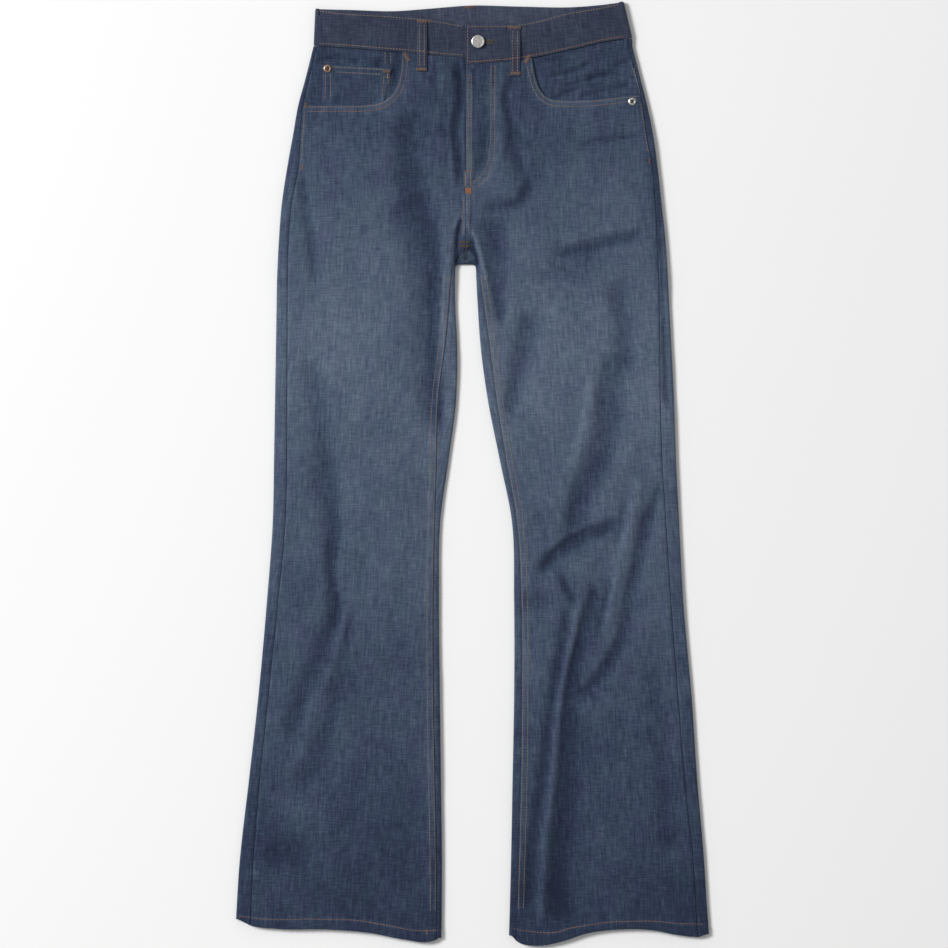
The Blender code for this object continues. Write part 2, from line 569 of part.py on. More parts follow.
def make_coin_pocket(material):
    """The coin pocket, on the right facing, with its lower edge inside the pocket opening."""
    lift = SEAM_GAP + COIN_WALL
    low_left, low_right = (-178.5, 442.5), (-105.0, 449.0)
    top_left, top_right = (-178.0, 486.5), (-96.0, 481.8)
    bottom = np.linspace(low_left, low_right, 9)
    bottom[:, 1] = np.maximum(low_left[1], on_line(SCOOP_RIGHT, bottom[:, 0]) + COIN_SCOOP_MARGIN)
    top = np.linspace(top_left, top_right, 9)
    sides = [np.linspace(low, high, 5) for low, high in ((bottom[0], top_left), (bottom[-1], top_right))]
    rows = blend_patch(bottom, top, *sides)
    facing = facing_height(RIGHT_LEG)
    return make_patch("coin_pocket", rows, lambda x, y: facing(x, y) + lift, COIN_WALL, material)


def make_back_pocket(name, side, material):
    """A back pocket, pointed at its foot, which lies between the seat and the surface."""
    middle = CENTRE_X + side * BACK_POCKET_OUT
    shares = np.linspace(-1, 1, 7)
    top = np.stack([middle + shares * BACK_POCKET_HALF_TOP,
                    BACK_POCKET_TOP_Y + side * shares * BACK_POCKET_TILT], axis=1)
    foot = np.stack([middle + shares * BACK_POCKET_HALF_FOOT,
                     BACK_POCKET_FOOT_Y + BACK_POCKET_DROP * np.abs(shares)], axis=1)
    sides = [np.linspace(foot[end], top[end], 4) for end in (0, -1)]
    rows = blend_patch(foot, top, *sides)
    return make_patch(name, rows, lambda x, y: np.zeros(np.shape(x)), PATCH_WALL, material, face_up=False)


def make_front_loop(name, place, band_foot, material):
    """A front belt loop, from just under the band's top edge to below its foot."""
    middle, foot_y, top_y = place["middle"], place["foot"], place["top"]
    band_y = float(on_line(band_foot, middle))
    ys = np.array([foot_y, foot_y + 5, band_y - 5.5, band_y - 1.0, band_y + 5, band_y + 14, band_y + 24,
                   band_y + 33, top_y])
    beside = np.linspace(middle - LOOP_MARGIN, middle + LOOP_MARGIN, 5)
    low = float(np.max(top_height(beside, foot_y + 4)))
    high = float(np.max(band_heights(beside, lapped=middle > CENTRE_X)))
    base = np.where(ys < band_y - 3, low, high) + SEAM_GAP + LOOP_WALL
    swell = LOOP_RISE * np.sin(np.pi * ramp(ys, foot_y + 5, top_y))
    half = LOOP_WIDTH / 2
    rows = []
    for y, height in zip(ys, base + np.maximum(swell, 0.0)):
        low_side = height - LOOP_ROUNDING
        spots = (middle - half, y, low_side), (middle, y, height), (middle + half, y, low_side)
        rows.append(np.array(spots))
    return make_sheet(name, rows, LOOP_WALL, material)


def make_back_loop(name, middle, material):
    """A back belt loop, flat between the waistband and the surface."""
    half = LOOP_WIDTH / 2
    rows = [[(middle - half, y), (middle, y), (middle + half, y)] for y in BACK_LOOP_ROWS]
    return make_patch(name, rows, lambda x, y: np.zeros(np.shape(x)), PATCH_WALL, material, face_up=False)


def make_turned(name, profile, place, material, steps=20):
    """A turned piece: its profile runs down the outside, from the axis at the top to the axis below."""
    mesh = bpy.data.meshes.new(name)
    points = [(radius * MM, 0.0, height * MM) for radius, height in profile]
    mesh.from_pydata(points, [(index, index + 1) for index in range(len(points) - 1)], [])
    piece = add_object(name, mesh, material)
    piece.location = [value * MM for value in place]
    spin = piece.modifiers.new("turned", "SCREW")
    spin.steps = steps
    spin.render_steps = steps
    spin.use_merge_vertices = True
    spin.merge_threshold = 0.00005
    spin.use_smooth_shade = True
    return piece


def make_button(material):
    """The waist button: a domed face with a raised ring, on a short shank."""
    radius, height = BUTTON_RADIUS, BUTTON_HEIGHT
    profile = (
        (0.0, height - 0.7),
        (radius * 0.52, height - 0.6),
        (radius * 0.64, height),
        (radius * 0.84, height - 0.1),
        (radius, height - 1.1),
        (radius * 0.93, height - 1.9),
        (radius * 0.42, height - 2.1),
        (radius * 0.42, 0.0),
        (0.0, 0.0),
    )
    over = SEAT_LIFT + 3 * BAND_WALL + 2 * SEAM_GAP
    make_turned("waist_button", profile, (*BUTTON_PLACE, over + SEAM_GAP), material)


def make_rivet(name, place, material):
    """A rivet: a ring round a small dimple."""
    radius, height = RIVET_RADIUS, RIVET_HEIGHT
    profile = (
        (0.0, height * 0.55),
        (radius * 0.3, height * 0.55),
        (radius * 0.45, height),
        (radius * 0.75, height * 0.9),
        (radius, height * 0.25),
        (radius, 0.0),
        (0.0, 0.0),
    )
    make_turned(name, profile, place, material, steps=14)


def centre_on_origin():
    """Moves every piece by the same amount, so that the origin is below the middle of the whole."""
    pieces = list(bpy.data.collections["jeans"].objects)
    bpy.context.view_layer.update()
    corners = np.array([piece.matrix_world @ vertex.co for piece in pieces for vertex in piece.data.vertices])
    shift = (corners.max(axis=0) + corners.min(axis=0)) / 2
    for piece in pieces:
        piece.location.x -= shift[0]
        piece.location.y -= shift[1]


def clear_scene():
    for leftover in list(bpy.data.objects):
        bpy.data.objects.remove(leftover, do_unlink=True)
    jeans = bpy.data.collections.new("jeans")
    bpy.context.scene.collection.children.link(jeans)


def make_jeans():
    denim = {name: make_material(name, DENIM, 0.85) for name in ("leg_denim", "yoke_denim", "pocket_denim")}
    dark = make_material("band_denim", DARK_DENIM, 0.85)
    nickel = make_material("nickel", NICKEL, 0.35, metallic=1.0)
    copper = make_material("copper", COPPER, 0.4, metallic=1.0)
    legs = (
        ("right", RIGHT_LEG, SCOOP_RIGHT, BAND_FOOT_RIGHT, -1.0),
        ("left", LEFT_LEG, SCOOP_LEFT, BAND_FOOT_LEFT, 1.0),
    )
    for word, leg, scoop, band_foot, side in legs:
        make_front("front_" + word, leg, scoop, band_foot, denim["leg_denim"])
        make_back("back_" + word, leg, scoop, denim["leg_denim"])
        make_yoke("yoke_" + word, leg, band_foot, denim["yoke_denim"])
        make_facing("pocket_facing_" + word, leg, scoop, band_foot, denim["pocket_denim"])
        make_back_pocket("back_pocket_" + word, side, denim["pocket_denim"])
        make_back_loop("belt_loop_back_" + word, CENTRE_X + side * BACK_LOOP_OUT, dark)
    make_back_loop("belt_loop_back_centre", CENTRE_X + BACK_LOOP_CENTRE, dark)
    make_waistband(dark)
    make_coin_pocket(denim["pocket_denim"])
    make_front_loop("belt_loop_front_right", FRONT_LOOP_RIGHT, BAND_FOOT_RIGHT, dark)
    make_front_loop("belt_loop_front_left", FRONT_LOOP_LEFT, BAND_FOOT_LEFT, dark)
    make_button(nickel)
    coin_top = float(facing_height(RIGHT_LEG)(*COIN_RIVET_PLACE)) + SEAM_GAP + COIN_WALL
    make_rivet("coin_pocket_rivet", (*COIN_RIVET_PLACE, coin_top + SEAM_GAP), copper)
    under_rivet = POCKET_RIVET_PLACE[0] + np.linspace(-RIVET_RADIUS, RIVET_RADIUS, 4)
    front_top = float(np.max(top_height(under_rivet, POCKET_RIVET_PLACE[1])))
    make_rivet("pocket_rivet", (*POCKET_RIVET_PLACE, front_top + SEAM_GAP), nickel)


clear_scene()
make_jeans()
centre_on_origin()
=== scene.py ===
import math

import bpy
import numpy as np
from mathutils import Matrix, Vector
from mathutils.bvhtree import BVHTree


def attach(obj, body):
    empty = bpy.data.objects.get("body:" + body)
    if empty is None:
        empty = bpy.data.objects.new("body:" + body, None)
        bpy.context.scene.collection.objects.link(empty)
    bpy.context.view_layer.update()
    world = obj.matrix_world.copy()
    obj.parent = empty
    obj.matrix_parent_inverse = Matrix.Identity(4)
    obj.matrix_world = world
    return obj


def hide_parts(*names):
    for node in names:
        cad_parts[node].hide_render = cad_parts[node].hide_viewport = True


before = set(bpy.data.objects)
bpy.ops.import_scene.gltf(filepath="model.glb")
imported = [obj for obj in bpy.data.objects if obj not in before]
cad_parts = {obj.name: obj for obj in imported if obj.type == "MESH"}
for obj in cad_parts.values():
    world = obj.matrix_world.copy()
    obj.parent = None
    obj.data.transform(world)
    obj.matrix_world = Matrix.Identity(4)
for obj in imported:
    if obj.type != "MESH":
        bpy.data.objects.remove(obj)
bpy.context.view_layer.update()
print("frame loaded:", len(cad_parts), "nodes")

mm = 0.001
fullTurn = 2 * math.pi
farAway = 1e3

# The cut, in millimetres.
# +Y runs from the hems to the waist and +X to the wearer's left, as in the frame.
centreX = -8.3
crotchY, forkY, splitY = 249.0, 270.0, 300.0
forkStart, forkHalfGap = 231.0, 12.2
yokeSideY, yokeCentreY, waistY = 456.0, 425.0, 509.0
flyBaseY = 336.0
seamGap = 0.3

legColumns = ("y", "outer", "outseam", "inseam", "inner")  # where a section crosses the folds and seams
rightLeg = (
    (waistY, -189.0, -184.9, centreX, centreX),
    (468, -199.3, -194.8, centreX, centreX),
    (438, -207.4, -201.5, centreX, centreX),
    (406, -213.0, -204.3, centreX, centreX),
    (367, -220.0, -206.5, centreX, centreX),
    (321, -226.9, -215.0, centreX, centreX),
    (forkY, -230.8, -219.0, centreX, centreX),
    (250, -231.8, -219.6, -22.2, -21.0),
    (231, -232.6, -220.0, -25.5, -21.0),
    (195, -233.2, -220.2, -28.0, -20.4),
    (159, -233.8, -220.3, -31.5, -18.4),
    (88, -235.0, -220.6, -40.5, -19.5),
    (16, -236.2, -220.9, -42.5, -28.5),
    (-55, -237.6, -222.5, -44.6, -38.2),
    (-150, -244.5, -231.0, -46.4, -39.9),
    (-269, -255.3, -243.2, -46.0, -38.7),
    (-364, -266.0, -252.9, -44.4, -37.5),
    (-459, -276.7, -260.6, -42.8, -36.3),
    (-543, -281.4, -264.0, -42.4, -36.9),
)
leftLeg = (
    (waistY, 190.0, 185.8, centreX, centreX),
    (468, 200.3, 195.8, centreX, centreX),
    (438, 207.8, 202.6, centreX, centreX),
    (406, 214.4, 206.8, centreX, centreX),
    (367, 220.0, 213.6, centreX, centreX),
    (321, 225.0, 217.6, centreX, centreX),
    (forkY, 230.2, 220.0, centreX, centreX),
    (250, 231.5, 220.9, 5.8, 4.4),
    (231, 232.6, 221.7, 9.2, 4.6),
    (195, 234.4, 222.4, 14.6, 6.5),
    (159, 236.2, 222.8, 19.6, 8.9),
    (88, 239.8, 223.6, 28.8, 18.2),
    (16, 242.2, 225.5, 40.2, 32.5),
    (-55, 245.7, 230.0, 52.6, 46.6),
    (-150, 250.7, 236.0, 58.0, 49.4),
    (-269, 261.0, 245.0, 58.5, 49.4),
    (-364, 267.4, 252.6, 57.4, 47.6),
    (-459, 275.5, 262.5, 54.8, 45.8),
    (-543, 281.4, 268.0, 52.4, 43.4),
)

# lines that cross the garment, as y at each x
hemRight = ((-281, -530), (-265, -537), (-235, -541), (-170, -542), (-122, -546), (-83, -553.5),
            (-51, -556.5), (-37, -552))
hemLeft = ((43, -549), (56, -558), (76, -561.4), (104, -557), (137, -546.5), (175, -542),
           (211, -542.5), (247, -549), (268, -551), (279, -551), (282, -547))
bandTopRight = ((-187, 553), (-147, 548.3), (-110, 546.4), (-68, 543), (-41, 539.4), (centreX, 534))
bandFootRight = ((-189, 509), (-147, 506.5), (-106, 503.2), (-74, 500.7), (-41, 497.2), (centreX, 494.6))
bandTopLeft = ((centreX, 534), (29, 534), (51, 535.2), (72, 538.2), (91, 543), (114, 549), (145, 554.3),
               (180, 561.4))
bandFootLeft = ((centreX, 486.4), (30, 489.4), (51, 491.2), (80, 496.5), (122, 505.5), (160, 514.4),
                (190, 518.5))
bandTopBack = ((-187, 553), (-146, 552), (-92, 550.6), (-50, 553.6), (-3, 557.2), (56, 556), (122, 555.4),
               (152, 557.8), (180, 561.4))
bandFootBack = ((-189, 509), (190, 518.5))
scoopRight = ((-202, 438), (-157, 438), (-126, 438.6), (-112, 440.8), (-99.6, 447), (-91.5, 457),
              (-87, 469), (-85, 482), (-84, 501.2))
scoopLeft = ((202, 451), (185, 449.4), (152, 445.4), (108, 444.2), (94, 445.6), (84.6, 451.5),
             (78.4, 461.5), (74.6, 474.5), (70.8, 495))
legsOf = {
    "right": {"leg": rightLeg, "side": -1.0, "hem": hemRight, "scoop": scoopRight, "foot": bandFootRight},
    "left": {"leg": leftLeg, "side": 1.0, "hem": hemLeft, "scoop": scoopLeft, "foot": bandFootLeft},
}

cloth = {
    "wall": 1.1,            # thickness of a panel
    "edgeHeight": 6.0,      # a leg's height at its side folds
    "crown": 2.2,           # how much higher it is away from them
    "crownReach": 26.0,
    "foldGain": 1.3,        # one value that deepens or calms all the folds
    "deepest": 5.4,
    "leastGap": 2.8,        # the top layer never sinks closer to what the legs lie on
    "highest": 3.4,
    "foldEnd": 7.0,         # how close to a seam the folds run
    "foldTaper": (-6.0, 20.0),  # from a fold's end to where it has its whole depth
    "restHeight": 0.35,     # the legs' underside, which leaves room for its stitches
    "seatHeight": 1.5,      # the seat lies on its pockets and loops
    "seatStart": (200.0, 236.0),
    "rowStep": 3.0,
    "seamDip": 0.85,
    "fellWidth": 8.6,       # the felled inseam
    "fellRise": 0.55,
    "hemDepth": 12.5,
    "hemRise": 0.8,
    "hemBend": 110.0,       # from the hem to the first level row
    "roping": 0.3,
    "ropeLength": 9.5,
    "ropeSlant": 0.8,
    "flyStep": 1.5,         # the fly's flap stands over the right front
    "forkSink": 3.6,        # the hollow round the fork
}

# Folds: the line that each one follows, its half width or that at its start and end, how far it
# rises or sinks, and how much wider it is on the left of its line than on the right.
folds = (
    (((-73, 434), (-77, 397), (-78, 367), (-72, 338), (-61, 312)), (13, 19), -3.5, 0.0),  # right thigh
    (((-72, 335), (-56, 297), (-47, 252), (-44, 207), (-44, 165), (-43, 123), (-41, 85), (-40, 50)),
     (21, 10), -4.8, -0.85),
    (((-51, 165), (-47, 130), (-44, 93), (-40, 64)), 5, -1.6, 0.0),
    (((-30, 308), (-31, 266), (-32, 219), (-33, 171), (-34, 123)), 7, 1.5, 0.0),
    (((-20, 492), (-15, 468), (-13.5, 450), (-16, 430), (-20, 411), (-18, 388), (-15, 366), (-13, 347)),
     5, -4.6, -0.3),
    (((-70, 402), (-52, 408), (-36, 406), (-22, 400)), 7, -1.2, 0.0),
    (((-30, 423), (-28, 397), (-24, 367), (-21, 338)), 3.5, 1.2, 0.0),
    (((-35, 445), (-33, 415), (-29, 385), (-26, 359)), 3.5, -1.3, 0.0),
    (((-47, 488), (-45, 457), (-42, 430)), 7, -1.1, 0.0),
    (((-36, 490), (-37, 462), (-35, 438)), 4, 0.8, 0.0),
    (((-203, 359), (-200, 332), (-195, 300), (-190, 266), (-186, 225)), 6, -2.0, 0.0),
    (((-197, 137), (-187, 102), (-178, 62), (-171, 20)), 12, -1.8, 0.0),
    (((-178, 34), (-172, -6), (-165, -38), (-162, -69), (-165, -93), (-166, -112)),
     (17, 8), -3.2, -0.3),  # right knee
    (((-162, -65), (-166, -93), (-167, -117), (-164, -141), (-162, -166), (-166, -186)), 6, -3.2, -0.3),
    (((-149, -150), (-154, -180), (-159, -207), (-167, -231), (-177, -255)), 5, 1.4, 0.0),
    (((-163, -132), (-164, -156), (-168, -180), (-178, -203), (-186, -224), (-196, -248), (-205, -272),
      (-214, -295), (-220, -319)), (9, 13), -2.1, 0.2),
    (((-143, -165), (-148, -191), (-152, -216)), 4, -1.0, 0.0),
    (((-156, -236), (-161, -262), (-170, -295), (-181, -327), (-196, -358), (-214, -378)),
     (8, 12), -1.5, 0.0),
    (((-186, -257), (-192, -287), (-202, -323), (-212, -350)), 6, 0.9, 0.0),
    (((-143, -303), (-124, -312), (-108, -324), (-93, -333)), 5, -0.9, 0.0),
    (((-250, -446), (-222, -452), (-190, -458)), 19, -2.2, 0.0),
    (((-170, -222), (-143, -248), (-127, -269)), 7, -0.7, 0.0),
    (((49, 480), (45, 464), (40, 447), (41, 430), (47, 411), (46, 395), (41, 376)), 4, -2.6, 0.0),
    (((51, 414), (54, 395), (52, 376), (58, 359), (64, 345)), 6, -2.7, 0.0),
    (((64, 359), (66, 340), (58, 325), (41, 319), (24, 317), (11, 313)), 7, -3.2, 0.0),
    (((10, 421), (14, 397), (11, 373), (8, 354)), 6, -1.4, 0.0),
    (((29, 445), (33, 415), (34, 385), (32, 364)), 5, 1.2, 0.0),
    (((9, 309), (17, 292), (26, 273), (32, 255)), 4, -1.9, 0.0),
    (((24, 308), (28, 266), (29, 237), (30, 207), (36, 172)), (17, 7), -3.8, -0.35),  # left thigh
    (((-1, 290), (6, 272), (11, 256), (16, 235), (24, 205), (33, 168)), 4.5, 1.7, 0.0),
    (((70, 197), (65, 170), (60, 145), (55, 121), (48, 97), (43, 66)), (15, 7), -3.6, 0.2),
    (((128, 389), (149, 395), (172, 398), (197, 403)), 4.5, -1.8, 0.0),
    (((96, 258), (122, 264), (148, 271), (174, 277), (203, 284)), 7.5, -3.0, 0.2),
    (((66, 236), (100, 239), (135, 248), (160, 260)), 13, -1.5, 0.0),
    (((104, 278), (140, 285), (176, 292)), 9, 0.9, 0.0),
    (((170, 230), (177, 200), (182, 173), (182, 147), (188, 121)), 11, -3.0, 0.0),
    (((172, 146), (166, 112), (162, 84), (163, 58), (158, 34), (148, 8), (136, -15), (127, -38), (121, -60),
      (112, -96)), (18, 10), -4.0, 0.2),
    (((126, 8), (123, -18), (121, -40), (118, -66)), 6, -1.8, 0.0),
    (((142, 121), (140, 88), (137, 58), (124, 28), (111, -1)), 8, 1.8, 0.0),
    (((212, 385), (217, 338), (221, 284), (224, 219), (228, 147), (232, 76)), 5, -2.2, 0.0),
    (((199, 490), (203, 457), (206, 421), (211, 373)), 4, -1.3, 0.0),
    (((176, -55), (155, -66), (137, -73), (120, -83), (102, -93), (89, -104), (80, -121)), 7.5, -4.8, 0.3),
    (((140, -55), (121, -67), (104, -77), (90, -86)), 5, 1.2, 0.0),  # left knee
    (((54, -142), (75, -151), (97, -158)), 13, -2.2, 0.0),
    (((66, -55), (80, -53), (95, -57)), 10, -0.9, 0.0),
    (((103, -114), (112, -136), (123, -159)), 4.5, -3.5, 0.0),
    (((112, -155), (111, -184), (105, -216), (99, -250), (93, -286), (89, -323), (84, -362), (78, -402),
      (72, -443), (68, -483), (66, -520)), (6, 8), -2.4, 0.0),
    (((128, -145), (124, -174), (118, -204), (111, -236), (104, -272), (101, -311), (97, -353), (91, -400),
      (86, -448), (83, -501), (82, -535)), 5, 2.2, 0.0),
    (((149, -129), (141, -155), (133, -184), (124, -212), (118, -245), (115, -281), (112, -323), (110, -364),
      (107, -406), (103, -448), (101, -490), (99, -536)), (8, 13), -3.9, 0.45),
    (((227, -5), (218, -31), (209, -57), (203, -85)), 5.5, -2.3, 0.3),
    (((211, -37), (203, -69), (197, -100), (190, -131), (184, -160), (178, -191), (166, -217), (153, -238),
      (140, -254), (123, -266)), 7.5, -3.7, 0.45),
    (((200, -5), (191, -43), (183, -79), (174, -115), (167, -150), (160, -184)), 6.5, 1.9, 0.0),
    (((183, -26), (178, -57), (173, -88)), 4, -1.6, 0.0),
    (((166, -122), (159, -150), (152, -176), (145, -198)), 4.5, -2.1, 0.0),
    (((214, -145), (199, -157), (185, -184)), 7, -1.1, 0.0),
    (((133, -293), (129, -341), (125, -388), (122, -448)), 14, -1.0, 0.0),
    (((211, -222), (220, -293), (227, -376), (233, -448)), 12, -1.0, 0.0),
)


# Painted shade and painted highlights in the colour, along lines too fine for the cloth's rows to cast: the
# line of each one, its half width, and how much lighter it is, or darker where that is negative.
paintedShades = (
    (((-14, 301), (-17, 295), (-19.3, 286), (-20.2, 276), (-19.8, 262), (-19.8, 249)),
     1.9, -0.52),  # painted shadow and highlights round the fork
    (((0.6, 281), (0.2, 272), (1.5, 266), (3.6, 260), (5.6, 251)), 2.0, -0.42),
    (((-11, 266.3), (-1, 266.5)), 1.6, -0.40),
    (((-13.6, 328), (-14.6, 315), (-15.6, 304), (-14.6, 290)), 1.5, -0.24),
    (((-3.0, 330), (-2.4, 312), (-3.2, 297), (-3.6, 283)), 1.4, -0.26),
    (((-7.2, 332), (-7.4, 312), (-9.0, 297), (-9.6, 284)), 3.2, 0.20),
    (((-16, 309), (-20.5, 300), (-23.6, 290), (-25.4, 276)), 2.4, 0.20),
    (((-1.0, 287), (4.6, 278), (8.4, 267), (11.0, 257), (12.6, 247), (16, 232)), 2.3, 0.26),
    (((-5.2, 480), (-5.0, 415), (-4.8, 350)), 3.4, 0.15),  # the edge of the fly: painted highlight and shade
    (((2.0, 480), (2.2, 415), (2.0, 352)), 1.5, -0.16),
    (((13, 480), (14, 430), (13, 385), (8, 362)), 7.0, -0.06),
    (((31.5, 486), (31, 440), (31, 392), (27, 364), (12, 343)), 2.2, 0.08),
    (((-51, 235), (-49, 180), (-47.5, 135), (-46.5, 90), (-46, 48)), 4.5, -0.16),  # painted shade and highlights in the thighs' folds
    (((-44, 300), (-40, 262), (-39, 225)), 4.0, -0.10),
    (((38, 300), (40, 262), (39, 225), (38, 195)), 3.5, -0.10),
    (((62, 150), (52, 112), (46, 70)), 3.5, -0.08),
    (((136, 104), (128, 50), (118, -5)), 5.0, 0.10),
    (((141, -62), (118, -76), (98, -90), (82, -112)), 3.2, -0.14),  # painted shade in the knee's crease
    (((176, 292), (150, 286), (112, 276)), 5.0, 0.07),
    (((-89.5, 499), (-91, 485), (-93, 471), (-98, 459)), 3.0, -0.20),  # painted shadow inside the right pocket
)


def listed(rows, place):
    return np.array([row[place] for row in rows], dtype=float)


def smoothThrough(xs, ys, at):  # a curve through the points, read at the given places
    order = np.argsort(xs)
    xs, ys = xs[order], ys[order]
    steps = np.diff(xs)
    slopes = np.diff(ys) / steps
    middle = (slopes[:-1] * steps[1:] + slopes[1:] * steps[:-1]) / (steps[:-1] + steps[1:])
    tangents = np.concatenate([slopes[:1], middle, slopes[-1:]])
    at = np.clip(at, xs[0], xs[-1])
    left = np.clip(np.searchsorted(xs, at) - 1, 0, len(xs) - 2)
    width = steps[left]
    t = (at - xs[left]) / width
    rise = ys[left] * (2 * t**3 - 3 * t**2 + 1) + ys[left + 1] * (3 * t**2 - 2 * t**3)
    return rise + width * (tangents[left] * (t**3 - 2 * t**2 + t) + tangents[left + 1] * (t**3 - t**2))


def onLeg(leg, name, y):
    return smoothThrough(listed(leg, 0), listed(leg, legColumns.index(name)), y)


def onLine(line, x):
    return smoothThrough(listed(line, 0), listed(line, 1), x)


def ramp(value, start, end):
    t = np.clip((value - start) / (end - start), 0.0, 1.0)
    return t * t * (3 - 2 * t)


def lengthsAlong(line):
    return np.concatenate([[0.0], np.cumsum(np.hypot(*np.diff(line, axis=0).T))])


def evenly(points, count):  # that many points at even steps along a smooth curve
    points = np.array(points, dtype=float)
    lengths = lengthsAlong(points)
    places = np.linspace(0.0, lengths[-1], count)
    return np.stack([smoothThrough(lengths, points[:, axis], places) for axis in (0, 1)], axis=1)


def beside(line, offset):  # a line moved sideways, to its left where the offset is positive
    runs = np.gradient(line, axis=0)
    left = np.stack([-runs[:, 1], runs[:, 0]], axis=1)
    return line + offset * left / np.hypot(*left.T)[:, None]


def hump(distance, reach):  # 1 at no distance, and close to 0 past twice the reach
    return np.exp(-((distance / reach) ** 2))


def rims(shares, length, reach):  # 1 at both ends of a length, and 0 away from them
    return hump(shares * length, reach) + hump((1 - shares) * length, reach)


def between(start, end, shares):
    return start * (1 - shares) + end * shares


def nearestOn(line, x, y, reach):  # distance, place along and side (+ is left) of each point near a line
    away, place, hand = np.full(x.shape, farAway), np.zeros(x.shape), np.ones(x.shape)
    near = ((x > line[:, 0].min() - reach) & (x < line[:, 0].max() + reach)
            & (y > line[:, 1].min() - reach) & (y < line[:, 1].max() + reach))
    if not near.any():
        return away, place, hand
    starts, runs = line[:-1], np.diff(line, axis=0)
    lengths = np.hypot(*runs.T)
    dx, dy = x[near][:, None] - starts[:, 0], y[near][:, None] - starts[:, 1]
    t = np.clip((dx * runs[:, 0] + dy * runs[:, 1]) / lengths**2, 0.0, 1.0)
    gaps = np.hypot(dx - t * runs[:, 0], dy - t * runs[:, 1])
    best = np.argmin(gaps, axis=1)
    row = np.arange(len(best))
    done = np.concatenate([[0.0], np.cumsum(lengths)[:-1]])
    away[near] = gaps[row, best]
    place[near] = (done + t * lengths)[row, best]
    hand[near] = np.sign(runs[:, 0] * dy - runs[:, 1] * dx)[row, best]
    return away, place, hand


def leftOf(line, x, y, reach):  # distance from the line, negative on its right
    near = nearestOn(line, x, y, reach)
    return near[0] * near[2]


noise = {"lattice": 64, "shift": (31.7, 17.3)}


def softNoise(x, y, size, seed):  # smooth random heights from -1 to 1, each hump about that size
    count = noise["lattice"]
    lattice = np.random.default_rng(seed).uniform(-1, 1, (count, count))
    u, v = x / size + noise["shift"][0], y / size + noise["shift"][1]
    i, j = np.floor(u).astype(int), np.floor(v).astype(int)
    fu, fv = u - i, v - j
    fu, fv = fu * fu * (3 - 2 * fu), fv * fv * (3 - 2 * fv)
    low = lattice[i % count, j % count] * (1 - fu) + lattice[(i + 1) % count, j % count] * fu
    high = lattice[i % count, (j + 1) % count] * (1 - fu) + lattice[(i + 1) % count, (j + 1) % count] * fu
    return low * (1 - fv) + high * fv


# Where the sewing runs.
sewing = {
    "pitch": 3.5,           # from one stitch to the next
    "stitch": 2.95,         # length of thread that shows
    "halfWidth": 0.44,
    "halfHeight": 0.26,
    "sink": 0.22,           # how far its ends go into the cloth
    "pucker": 0.22,
    "puckerReach": 1.7,
    "evenShare": 0.75,      # of each pucker, to which two waves are added: their height and length
    "longWave": (0.40, 8.5),
    "shortWave": (0.25, 5.1),
    "rubbedReach": 1.8,     # how far the layers rub light beside the stitches
}


def inseamLine(word, offset, low, high, step=14.0):
    leg, side = legsOf[word]["leg"], legsOf[word]["side"]
    ys = np.arange(high, low, -step)
    return np.stack([onLeg(leg, "inseam", ys) + side * offset, ys], axis=1)


def outseamLine(word, offset, high, low, step=12.0):
    leg, side = legsOf[word]["leg"], legsOf[word]["side"]
    ys = np.arange(high, low, -step)
    return np.stack([onLeg(leg, "outseam", ys) - side * offset, ys], axis=1)


hemStitchRight = ((-278.5, -525.7), (-248, -529.5), (-190, -529.5), (-138.6, -531), (-100.6, -537),
                  (-69.6, -543), (-38.7, -543))
hemStitchLeft = ((48, -541), (67, -544), (100.6, -545), (115, -540.6), (135, -537), (160, -533.4),
                 (186, -532.2), (220.7, -532.2), (237.4, -534.3), (258.8, -535.2), (276.7, -535.8))


def acrossLine(line, offset, start, end, step=8.0):
    xs = np.linspace(start, end, int(abs(end - start) / step) + 2)
    return np.stack([xs, onLine(line, xs) + offset], axis=1)


def scoopLine(word, offset, count=60):  # moved off the opening's edge, to the hem's side where negative
    line = evenly(legsOf[word]["scoop"], count)
    return beside(line, -offset * legsOf[word]["side"])


def straightLine(start, end):
    return np.array([start, end], dtype=float)


